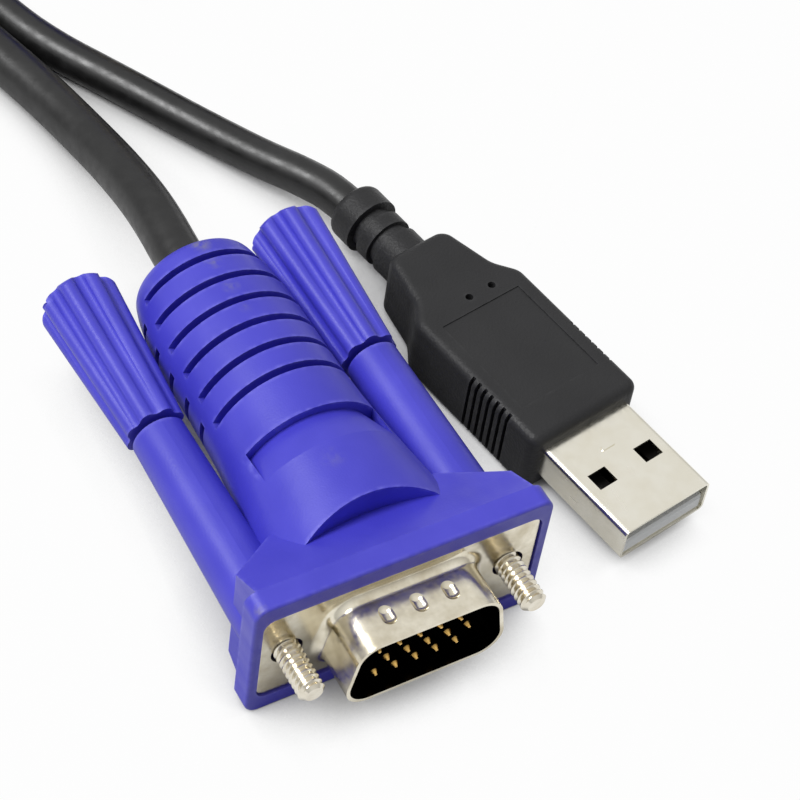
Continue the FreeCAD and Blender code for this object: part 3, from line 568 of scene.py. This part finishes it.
@dataclass(frozen=True)
class Strap(Finish):
    """Woven hook-and-loop strap with a fuzzy face."""

    fuzz: Colour
    weave_mm: float = 0.5
    weave_depth_mm: float = 0.2
    weave_strength: float = 0.6
    roughness: float = 0.9
    sheen: float = 0.3

    def paint(self, sheet: Sheet) -> None:
        """Lays the weave and its fuzz on a sheet.

        Args:
            sheet: The material's sheet.
        """
        inputs = {"Vector": sheet.place, "Scale": 1.0 / (self.weave_mm * MM)}
        weave = sheet.node("ShaderNodeTexVoronoi", inputs).outputs["Distance"]
        sheet.feed("Base Color", sheet.mix(weave, self.colour, self.fuzz))
        sheet.feed("Roughness", self.roughness)
        sheet.feed("Sheen Weight", self.sheen)
        sheet.bump(weave, self.weave_depth_mm, self.weave_strength)


NEAR_FLANGE: Point = (0.0, -1.0, 8.7)
FAR_FLANGE: Point = (32.0, 104.0, 8.7)
DATA_MOUTH: Point = (32.7, -0.65, 4.2)
DATA_TURN = math.radians(10.0)

HOOD_SCUFFS = (
    Scuff((0.1, 44.7, 15.4), 1.5, 0.7),
    Scuff((0.12, 41.65, 15.7), 1.2, 0.5),
    Scuff((0.2, 37.6, 16.05), 1.2, 0.35),
    Scuff((0.2, 34.2, 16.4), 1.0, 0.2),
    Scuff((-15.87, -0.66, 17.19), 0.9, 0.6),
    Scuff((-1.13, 12.5, 17.2), 1.6, 0.18),
)
BLUE_VINYL = MouldedVinyl(
    "blue_vinyl", (0.050, 0.046, 0.50), mottled=(0.066, 0.060, 0.56), worn=(0.17, 0.165, 0.70),
    scuffs=HOOD_SCUFFS,
)
BLACK_VINYL = MouldedVinyl(
    "black_vinyl", (0.022, 0.022, 0.023), mottled=(0.028, 0.028, 0.029), worn=(0.05, 0.05, 0.052),
    roughness=0.45, specular=0.22, grain_mm=0.32, grain_depth_mm=0.2, mould_line=DATA_MOUTH[2],
)
INSULATOR_BLACK = MouldedVinyl(
    "insulator_black", (0.005, 0.005, 0.005), mottled=(0.007, 0.007, 0.007), worn=(0.012, 0.012, 0.012),
    roughness=0.6,
)
# The white inserts are painted dark as shade inside their shells: the core where it is closed in, the tongue
# behind the mouth.
CORE_WHITE = InsertWithPaintedShade(
    "core_white", (0.90, 0.92, 0.93), mottled=(0.86, 0.88, 0.89), worn=(0.90, 0.92, 0.93), roughness=0.35,
)
TONGUE_WHITE = MouthInsert(
    "tongue_white", CORE_WHITE.colour, mottled=CORE_WHITE.mottled, worn=CORE_WHITE.worn,
    roughness=CORE_WHITE.roughness, mouth=DATA_MOUTH, inward=(-math.sin(DATA_TURN), math.cos(DATA_TURN), 0.0),
)
# The shell's inner wall gets painted shade.
SHELL_NICKEL = DrawnShell("shell_nickel", (0.80, 0.75, 0.62), tarnish=(0.56, 0.50, 0.37))
DATA_NICKEL = PlatedMetal(
    "data_nickel", (0.84, 0.81, 0.71), tarnish=(0.79, 0.75, 0.63), roughness=0.22, streak=(1.0, 0.1, 1.0),
    wave_depth_mm=0.02,
)
# Pins and screws: their shafts inside the plug and tubes are painted dark as shade.
PIN_GOLD = RodWithPaintedShade(
    "pin_gold", (0.78, 0.50, 0.15), tarnish=(0.66, 0.40, 0.11), roughness=0.25, wave_depth_mm=0.0,
)
SCREW_STEEL = RodWithPaintedShade(
    "screw_steel", (0.80, 0.76, 0.66), tarnish=(0.66, 0.60, 0.48), wave_depth_mm=0.0,
    painted_shade=(0.03, 0.03, 0.032),
)
FAR_CONTACT_GOLD = PlatedMetal(
    "far_contact_gold", (0.72, 0.46, 0.14), tarnish=(0.60, 0.36, 0.10), roughness=0.25, wave_depth_mm=0.0,
)
# Near contacts: painted dark as shade behind the mouth of the data plug.
NEAR_CONTACT_GOLD = RodWithPaintedShade(
    "near_contact_gold", FAR_CONTACT_GOLD.colour, tarnish=FAR_CONTACT_GOLD.tarnish,
    roughness=FAR_CONTACT_GOLD.roughness, wave_depth_mm=0.0,
    plain_to=1.5, painted_shade_from=3.5, painted_shade=(0.02, 0.014, 0.006),
)
CORD_BLACK = CordSheath("cord_sheath", (0.006, 0.006, 0.006), dusty=(0.014, 0.014, 0.014))
TIE_BLACK = Strap("tie_strap", (0.01, 0.01, 0.01), fuzz=(0.035, 0.035, 0.035))


class Wardrobe:
    """Builds each finish once and puts it on pieces and CAD nodes."""

    def __init__(self) -> None:
        """Starts with no finish built."""
        self.made: dict[str, bpy.types.Material] = {}

    def dress(self, piece: bpy.types.Object, finish: Finish) -> None:
        """Gives a piece one finish all over.

        Args:
            piece: A new piece or a CAD node's object.
            finish: One of the finishes above.
        """
        if finish.name not in self.made:
            self.made[finish.name] = finish.material()
        if not piece.material_slots:
            piece.data.materials.append(None)
        for slot in piece.material_slots:
            slot.material = self.made[finish.name]


@dataclass
class Screw:
    """Threaded jackscrew, modelled along Y about its own axis. Sizes are in millimetres from the flange face.

    The thread is wound with a few spare turns past both ends and then trimmed. The crest takes up a
    share of each pitch.
    """

    pitch: float = 0.635
    crest: float = 1.42
    root: float = 1.06
    crest_from: float = 0.42
    crest_to: float = 0.58
    tip: float = -5.6
    thread_end: float = 2.42
    chamfer: float = 0.35
    neck: float = 1.0
    neck_end: float = 7.02
    shank_end: float = 44.3
    steps: int = 28
    spare_turns: int = 2
    smooth_angle: float = 40.0
    merge_mm: float = 0.001
    cut_mm: float = 0.0001

    def profile(self) -> bpy.types.Object:
        """One pitch of the thread as an open line in the XY plane.

        Returns:
            The object that holds the line.
        """
        corners = (
            (self.root, 0.0), (self.crest, self.crest_from), (self.crest, self.crest_to), (self.root, 1.0),
        )
        bpy.ops.object.select_all(action="DESELECT")
        bpy.ops.mesh.primitive_circle_add(vertices=len(corners), radius=MM, fill_type="NOTHING")
        line = bpy.context.object
        start = self.tip - self.spare_turns * self.pitch
        for vertex, (radius, share) in zip(line.data.vertices, corners):
            vertex.co = metres((radius, start + share * self.pitch, 0.0))
        ends = {0, len(corners) - 1}
        for vertex in line.data.vertices:
            vertex.select = vertex.index in ends
        for edge in line.data.edges:
            edge.select = set(edge.vertices) == ends
        bpy.ops.object.mode_set(mode="EDIT")
        bpy.ops.mesh.delete(type="EDGE")
        bpy.ops.object.mode_set(mode="OBJECT")
        return line

    def wind(self, line: bpy.types.Object) -> None:
        """Winds the line into the whole thread.

        Args:
            line: One pitch of the thread.
        """
        bpy.ops.object.modifier_add(type="SCREW")
        wind = line.modifiers[-1]
        wind.axis = "Y"
        wind.screw_offset = self.pitch * MM
        wind.iterations = math.ceil((self.thread_end - self.tip) / self.pitch) + 2 * self.spare_turns
        wind.steps = self.steps
        wind.render_steps = self.steps
        bpy.ops.object.modifier_apply(modifier=wind.name)

    def trim(self, y: float, front: bool) -> None:
        """Cuts the edited rod square across and closes the cut.

        Args:
            y: Place of the cut, in millimetres.
            front: True to take off the front, False for the rear.
        """
        bpy.ops.mesh.select_all(action="SELECT")
        bpy.ops.mesh.bisect(
            plane_co=(0, y * MM, 0), plane_no=(0, 1, 0), use_fill=True,
            clear_inner=front, clear_outer=not front, threshold=self.cut_mm * MM,
        )

    def step(self, length: float, scale: float, y: float) -> None:
        """Extrudes the selected end face and scales its new rim about the axis.

        Args:
            length: How far along Y, in millimetres.
            scale: Factor on the rim's radius.
            y: Place of the new rim along Y, in millimetres.
        """
        bpy.ops.mesh.extrude_region_move(TRANSFORM_OT_translate={"value": (0, length * MM, 0)})
        bpy.ops.transform.resize(value=(scale, 1, scale), center_override=(0, y * MM, 0))

    def build(self) -> bpy.types.Object:
        """Winds the thread, trims it and adds the tip, neck and shank.

        Returns:
            The finished screw at the origin.
        """
        screw = self.profile()
        self.wind(screw)
        bpy.ops.object.mode_set(mode="EDIT")
        bpy.ops.mesh.select_all(action="SELECT")
        bpy.ops.mesh.remove_doubles(threshold=self.merge_mm * MM)
        self.trim(self.tip + self.chamfer, front=True)
        self.step(-self.chamfer, 1 - self.chamfer / self.crest, self.tip)
        self.trim(self.thread_end, front=False)
        self.step(0.0, self.neck / self.crest, self.thread_end)
        self.step(self.neck_end - self.thread_end, 1.0, self.neck_end)
        self.step(0.0, self.crest / self.neck, self.neck_end)
        self.step(self.shank_end - self.neck_end, 1.0, self.shank_end)
        bpy.ops.mesh.select_all(action="SELECT")
        bpy.ops.mesh.normals_make_consistent(inside=False)
        bpy.ops.object.mode_set(mode="OBJECT")
        bpy.ops.object.shade_smooth_by_angle(angle=math.radians(self.smooth_angle))
        return screw


@dataclass
class Plug:
    """One plug of the set, whose CAD nodes are dressed one by one."""

    prefix: str

    def finishes(self) -> dict[str, Finish]:
        """The finish of each CAD node, by the end of the node's name."""
        raise NotImplementedError

    def dress(self, wardrobe: Wardrobe) -> list[bpy.types.Object]:
        """Puts the finishes on the CAD nodes.

        Args:
            wardrobe: Where the finishes are built.

        Returns:
            The dressed nodes.
        """
        pieces = []
        for name, finish in self.finishes().items():
            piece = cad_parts[f"{self.prefix}_{name}"]
            wardrobe.dress(piece, finish)
            pieces.append(piece)
        return pieces


@dataclass
class DisplayPlug(Plug):
    """One 15-pin plug: finishes on its CAD nodes and a threaded screw in place of each plain one.

    The places where a rod's finish goes over from its plain colour to painted shade are millimetres behind the
    flange face.
    """

    end: str
    flange: Point
    screw_x: float = 12.495
    pin_plain_to: float = -4.9
    pin_painted_shade_from: float = -4.4
    screw_plain_to: float = 3.0
    screw_painted_shade_from: float = 7.0

    def fit_painted_shade(self, finish: RodWithPaintedShade, plain_to: float, painted_shade_from: float) -> RodWithPaintedShade:
        """Fits the painted shade on a rod to this plug's place.

        Args:
            finish: The finish without a place.
            plain_to: Where the part in its plain colour ends behind the flange face.
            painted_shade_from: Where the painted shade begins behind it.

        Returns:
            The finish for this plug.
        """
        y = self.flange[1]
        name = f"{self.end}_{finish.name}"
        return replace(finish, name=name, plain_to=y + plain_to, painted_shade_from=y + painted_shade_from)

    def finishes(self) -> dict[str, Finish]:
        """The finish of each CAD node, by the end of the node's name.

        Returns:
            Node name without the prefix, to finish.
        """
        nickel = replace(SHELL_NICKEL, name=f"{self.end}_{SHELL_NICKEL.name}", axis=self.flange)
        return {
            "hood": BLUE_VINYL,
            "front_shell": nickel,
            "rear_shell": nickel,
            "insulator": INSULATOR_BLACK,
            "pins": self.fit_painted_shade(PIN_GOLD, self.pin_plain_to, self.pin_painted_shade_from),
            "left_knob": BLUE_VINYL,
            "right_knob": BLUE_VINYL,
        }

    def add_screws(self, pattern: bpy.types.Object, wardrobe: Wardrobe) -> list[bpy.types.Object]:
        """Sets a copy of the threaded screw in each tube.

        Args:
            pattern: The screw at the origin.
            wardrobe: Where the finishes are built.

        Returns:
            The two screws.
        """
        steel = self.fit_painted_shade(SCREW_STEEL, self.screw_plain_to, self.screw_painted_shade_from)
        x, y, z = self.flange
        screws = []
        for side in Side:
            hand = side.name.lower()
            screw = pattern.copy()
            screw.data = pattern.data.copy()
            screw.name = f"{self.prefix}_{hand}_threaded_screw"
            bpy.context.collection.objects.link(screw)
            screw.data.transform(Matrix.Translation(metres((x + side.value * self.screw_x, y, z))))
            wardrobe.dress(screw, steel)
            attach(screw, f"{self.end}_{hand}_thumbscrew")
            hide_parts(f"{self.prefix}_{hand}_screw")
            screws.append(screw)
        return screws


@dataclass
class DataPlug(Plug):
    """One data plug: finishes on its CAD nodes."""

    insert: str
    white: InsertWithPaintedShade
    gold: PlatedMetal

    def finishes(self) -> dict[str, Finish]:
        """The finish of each CAD node, by the end of the node's name."""
        return {"body": BLACK_VINYL, "shell": DATA_NICKEL, self.insert: self.white, "contacts": self.gold}


@dataclass
class Winding:
    """Coil of one cord: a spiral in on the lower row and a spiral out on the upper one.

    Sizes are in millimetres and angles in degrees.
    """

    centre: tuple[float, float]
    start_angle: float
    end_angle: float
    turns: int
    outer: float
    inner: float
    exit_radius: float
    low: float
    high: float
    inward_turns: float = 2.5
    points_per_turn: int = 16
    climb_turns: float = 0.3

    def radius(self, turned: float, all_turns: float) -> float:
        """Distance from the coil's middle.

        Args:
            turned: Turns since the start.
            all_turns: Turns of the whole coil.

        Returns:
            The radius in millimetres.
        """
        past = turned - self.inward_turns
        if past < 0:
            return self.outer + (self.inner - self.outer) * turned / self.inward_turns
        return self.inner + (self.exit_radius - self.inner) * past / (all_turns - self.inward_turns)

    def height(self, turned: float) -> float:
        """Height over the floor, with a smooth climb from the lower row to the upper one.

        Args:
            turned: Turns since the start.

        Returns:
            The height in millimetres.
        """
        climbed = min(max((turned - self.inward_turns) / self.climb_turns + 0.5, 0.0), 1.0)
        return self.low + (self.high - self.low) * climbed * climbed * (3 - 2 * climbed)

    def points(self) -> list[Point]:
        """Points of the turns, clockwise from above.

        Returns:
            The points in millimetres.
        """
        all_turns = (self.start_angle - self.end_angle) / FULL_TURN + self.turns
        count = round(all_turns * self.points_per_turn)
        points = []
        for index in range(1, count):
            turned = all_turns * index / count
            angle = math.radians(self.start_angle - FULL_TURN * turned)
            radius = self.radius(turned, all_turns)
            x, y = self.centre
            points.append((x + radius * math.cos(angle), y + radius * math.sin(angle), self.height(turned)))
        return points


@dataclass
class Cord:
    """One free cord, in millimetres: from its near plug over the floor, round its coil, into its far plug."""

    name: str
    diameter: float
    length: float
    exit: Point
    run: Sequence[Point]
    winding: Winding
    tail: Sequence[Point]
    nodes: tuple[str, ...]
    far_pieces: tuple[str, ...]
    ring_steps: int = 6
    line_steps: int = 6
    order: int = 3

    def line(self) -> bpy.types.Curve:
        """One smooth spline along the whole route.

        Returns:
            The curve, as thick as the cord.
        """
        line = bpy.data.curves.new(self.name, "CURVE")
        line.dimensions = "3D"
        line.bevel_depth = self.diameter / 2 * MM
        line.bevel_resolution = self.ring_steps
        line.resolution_u = self.line_steps
        line.use_fill_caps = True
        route = (*self.run, *self.winding.points(), *self.tail)
        spline = line.splines.new("NURBS")
        spline.points.add(len(route) - 1)
        for knot, point in zip(spline.points, route):
            knot.co = (*metres(point), 1.0)
        spline.order_u = self.order
        spline.use_endpoint_u = True
        return line

    def build(self, wardrobe: Wardrobe, on_cord: Sequence[bpy.types.Object]) -> bpy.types.Object:
        """Args:
            wardrobe: Where the finishes are built.
            on_cord: New pieces that lie on this cord; not used.

        Returns:
            The cord.
        """
        cord = bpy.data.objects.new(self.name, self.line())
        bpy.context.collection.objects.link(cord)
        wardrobe.dress(cord, CORD_BLACK)
        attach(cord, "cable")
        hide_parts(*self.nodes)
        return cord


COIL_CENTRE = (11.7, 194.0)

DISPLAY_CORD = Cord(
    name="display_cord",
    diameter=5.6,
    length=1000.0,
    exit=(0.0, 46.0, 8.7),
    run=(
        (0.0, 34.0, 8.7), (0.0, 47.6, 8.7), (0.9, 57.0, 7.7), (1.2, 65.8, 5.5), (0.7, 74.6, 3.55),
        (-0.8, 83.4, 2.85), (-3.4, 92.8, 2.8), (-6.6, 103.0, 2.85), (-10.5, 114.0, 2.95),
        (-14.6, 125.5, 3.15), (-18.2, 138.0, 3.35), (-20.9, 151.0, 3.5), (-22.6, 164.0, 3.6),
        (-23.5, 176.5, 3.62), (-23.6, 188.0, 3.6),
    ),
    winding=Winding(
        COIL_CENTRE, start_angle=189.6, end_angle=11.0, turns=4, outer=35.6, inner=21.5, exit_radius=33.2,
        low=3.6, high=9.2,
    ),
    tail=(
        (44.5, 200.4, 9.2), (43.7, 192.2, 9.15), (41.5, 184.2, 9.0), (38.3, 176.4, 8.9), (35.0, 168.8, 8.8),
        (32.8, 160.8, 8.72), (32.0, 152.6, 8.7), (32.0, 139.0, 8.7),
    ),
    nodes=("display_cord_run", "display_cord_coil", "display_cord_tail"),
    far_pieces=(
        "far_display_plug_hood", "far_display_plug_front_shell", "far_display_plug_rear_shell",
        "far_display_plug_insulator", "far_display_plug_pins", "far_display_plug_left_knob",
        "far_display_plug_right_knob", "cord_tie",
    ),
)

DATA_CORD = Cord(
    name="data_cord",
    diameter=4.6,
    length=1050.0,
    exit=(23.427, 51.939, 4.2),
    run=(
        (24.99, 43.075, 4.2), (23.149, 53.514, 4.2), (20.7, 58.9, 3.7), (18.1, 63.4, 3.1), (15.6, 68.4, 2.6),
        (12.9, 73.5, 2.35), (10.1, 78.7, 2.3), (7.0, 84.2, 2.3), (3.9, 89.6, 2.3), (1.2, 95.8, 2.4),
        (-1.2, 104.6, 2.75), (-3.9, 113.4, 4.0), (-6.6, 122.8, 6.4), (-9.1, 132.8, 10.0),
        (-11.2, 143.4, 13.2), (-13.1, 154.6, 15.0), (-14.9, 166.0, 15.3), (-16.8, 176.6, 14.9),
        (-18.7, 184.2, 14.4),
    ),
    winding=Winding(
        COIL_CENTRE, start_angle=197.9, end_angle=180.0, turns=5, outer=31.6, inner=19.9, exit_radius=31.5,
        low=14.3, high=18.9,
    ),
    tail=(
        (-19.8, 194.0, 18.9), (-18.5, 203.6, 19.3), (-14.1, 212.4, 20.3), (-7.0, 219.0, 21.8),
        (1.6, 223.1, 23.5), (11.2, 224.2, 25.1), (20.4, 222.2, 26.1), (28.2, 217.5, 26.5),
        (34.0, 210.6, 26.5), (37.2, 202.4, 26.5), (37.8, 194.6, 26.5), (37.8, 184.0, 26.5),
    ),
    nodes=("data_cord_run", "data_cord_coil", "data_cord_tail"),
    far_pieces=("far_data_plug_body", "far_data_plug_shell", "far_data_plug_core", "far_data_plug_contacts"),
)


@dataclass(frozen=True)
class PhotoCamera:
    """Camera at the photograph's viewing angle, aimed at a point on the floor. Degrees and millimetres."""

    azimuth: float = -36.314
    elevation: float = 50.5
    roll: float = 9.726
    target: Point = (16.932, 27.693, 0.0)
    distance: float = 286.66
    focal_px: float = 2622.0
    frame_px: float = 800.0
    sensor_mm: float = 36.0
    nearest: float = 10.0

    def build(self) -> None:
        """Makes the camera and gives it to the scene."""
        azimuth, elevation = math.radians(self.azimuth), math.radians(self.elevation)
        level = math.cos(elevation)
        back = Vector((math.sin(azimuth) * level, -math.cos(azimuth) * level, math.sin(elevation)))
        roll = Quaternion((0, 0, 1), math.radians(self.roll))
        camera = bpy.data.objects.new("photo_camera", bpy.data.cameras.new("photo_camera"))
        camera.data.sensor_width = self.sensor_mm
        camera.data.lens = self.sensor_mm * self.focal_px / self.frame_px
        camera.data.clip_start = self.nearest * MM
        camera.rotation_mode = "QUATERNION"
        camera.rotation_quaternion = back.to_track_quat("Z", "Y") @ roll
        camera.location = (Vector(self.target) + back * self.distance) * MM
        bpy.context.collection.objects.link(camera)
        bpy.context.scene.camera = camera


@dataclass(frozen=True)
class Studio:
    """Pale floor, white surroundings that light the pieces more from overhead, and one large soft lamp.

    The floor's size and the lamp's places and size are in metres. A strength of 1 is white.
    """

    white: float = 1.0
    floor_size: float = 6.0
    floor_colour: Colour = (0.45, 0.45, 0.45)
    floor_roughness: float = 0.9
    floor_specular: float = 0.1
    floor_share: float = 0.97
    shadow_mm: float = 10.0
    shadow_samples: int = 8
    eye_clear: Span = (0.22, 0.72)
    mirror_clear: Span = (0.55, 0.98)
    fill: float = 0.46
    level: float = 0.5
    overhead: float = 1.0
    lamp_place: Point = (-0.46, 0.2, 0.78)
    lamp_target: Point = (0.01, 0.02, 0.0)
    lamp_size: float = 0.45
    lamp_watts: float = 7.4

    def floor_material(self) -> bpy.types.Material:
        """Pale floor that is mostly plain white where it is seen and lies open.

        The eye sees a shadow close to the pieces, and reflections show a wider one.

        Returns:
            The new material.
        """
        sheet = Sheet("studio_floor")
        sheet.feed("Base Color", (*self.floor_colour, 1.0))
        sheet.feed("Roughness", self.floor_roughness)
        sheet.feed("Specular IOR Level", self.floor_specular)
        glow = sheet.node("ShaderNodeEmission", {"Color": (*WHITE, 1.0), "Strength": self.white})
        clear = sheet.openness(self.shadow_mm, self.shadow_samples)
        most = (0.0, self.floor_share)
        eye = sheet.straight()
        mirrored = sheet.maths("SUBTRACT", sheet.seen(), eye)
        eye_share = sheet.maths("MULTIPLY", eye, sheet.remap(clear, self.eye_clear, most))
        mirror_share = sheet.maths("MULTIPLY", mirrored, sheet.remap(clear, self.mirror_clear, most))
        share = sheet.maths("ADD", eye_share, mirror_share)
        shaders = {0: share, 1: sheet.shader.outputs["BSDF"], 2: glow.outputs["Emission"]}
        both = sheet.node("ShaderNodeMixShader", shaders).outputs["Shader"]
        sheet.fill(sheet.tree.nodes["Material Output"], {"Surface": both})
        return sheet.material

    def floor(self) -> None:
        """Lays the floor under the pieces."""
        bpy.ops.object.select_all(action="DESELECT")
        bpy.ops.mesh.primitive_plane_add(size=self.floor_size)
        floor = bpy.context.object
        floor.name = "studio_floor"
        floor.data.materials.append(self.floor_material())

    def surroundings(self) -> None:
        """White all round for the eye, paler overhead in reflections, and a plain fill light for the rest."""
        world = bpy.data.worlds.new("studio")
        world.use_nodes = True
        bpy.context.scene.world = world
        board = Board(world.node_tree, "Generated")
        grey = board.remap(board.along("Z"), RISING, (self.level, self.overhead))
        colour = board.maths("MAXIMUM", grey, board.straight())
        strength = board.remap(board.seen(), RISING, (self.fill, self.white))
        board.fill(world.node_tree.nodes["Background"], {"Color": colour, "Strength": strength})

    def lamp(self) -> None:
        """Hangs the soft lamp over the cords and aims it at the plugs."""
        lamp = bpy.data.lights.new("soft_lamp", "AREA")
        lamp.shape = "DISK"
        lamp.size = self.lamp_size
        lamp.energy = self.lamp_watts
        holder = bpy.data.objects.new("soft_lamp", lamp)
        holder.location = self.lamp_place
        aim = Vector(self.lamp_target) - Vector(self.lamp_place)
        holder.rotation_euler = aim.to_track_quat("-Z", "Y").to_euler()
        bpy.context.collection.objects.link(holder)

    def build(self) -> None:
        """Sets up the whole studio and the plain view transform."""
        self.floor()
        self.surroundings()
        self.lamp()
        bpy.context.scene.view_settings.view_transform = "Standard"


def report(pieces: Sequence[bpy.types.Object]) -> None:
    """Logs each finished piece with its finish."""
    for piece in pieces:
        LOG.info("%s wears %s", piece.name, piece.material_slots[0].material.name)


def main() -> None:
    """Builds the classes in order and reports each piece."""
    logging.basicConfig(level=logging.INFO, format="%(message)s")
    wardrobe = Wardrobe()
    PhotoCamera().build()
    Studio().build()
    near = DisplayPlug("display_plug", "near", NEAR_FLANGE)
    far = DisplayPlug("far_display_plug", "far", FAR_FLANGE)
    near_data = DataPlug("data_plug", "tongue", TONGUE_WHITE, NEAR_CONTACT_GOLD)
    far_data = DataPlug("far_data_plug", "core", CORE_WHITE, FAR_CONTACT_GOLD)
    for plug in (near, far, near_data, far_data):
        report(plug.dress(wardrobe))
    pattern = Screw().build()
    near_screws = near.add_screws(pattern, wardrobe)
    far_screws = far.add_screws(pattern, wardrobe)
    bpy.data.objects.remove(pattern)
    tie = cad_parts["cord_tie"]
    wardrobe.dress(tie, TIE_BLACK)
    cords = [DISPLAY_CORD.build(wardrobe, far_screws), DATA_CORD.build(wardrobe, [])]
    report([*near_screws, *far_screws, tie, *cords])


if __name__ == "__main__":
    main()
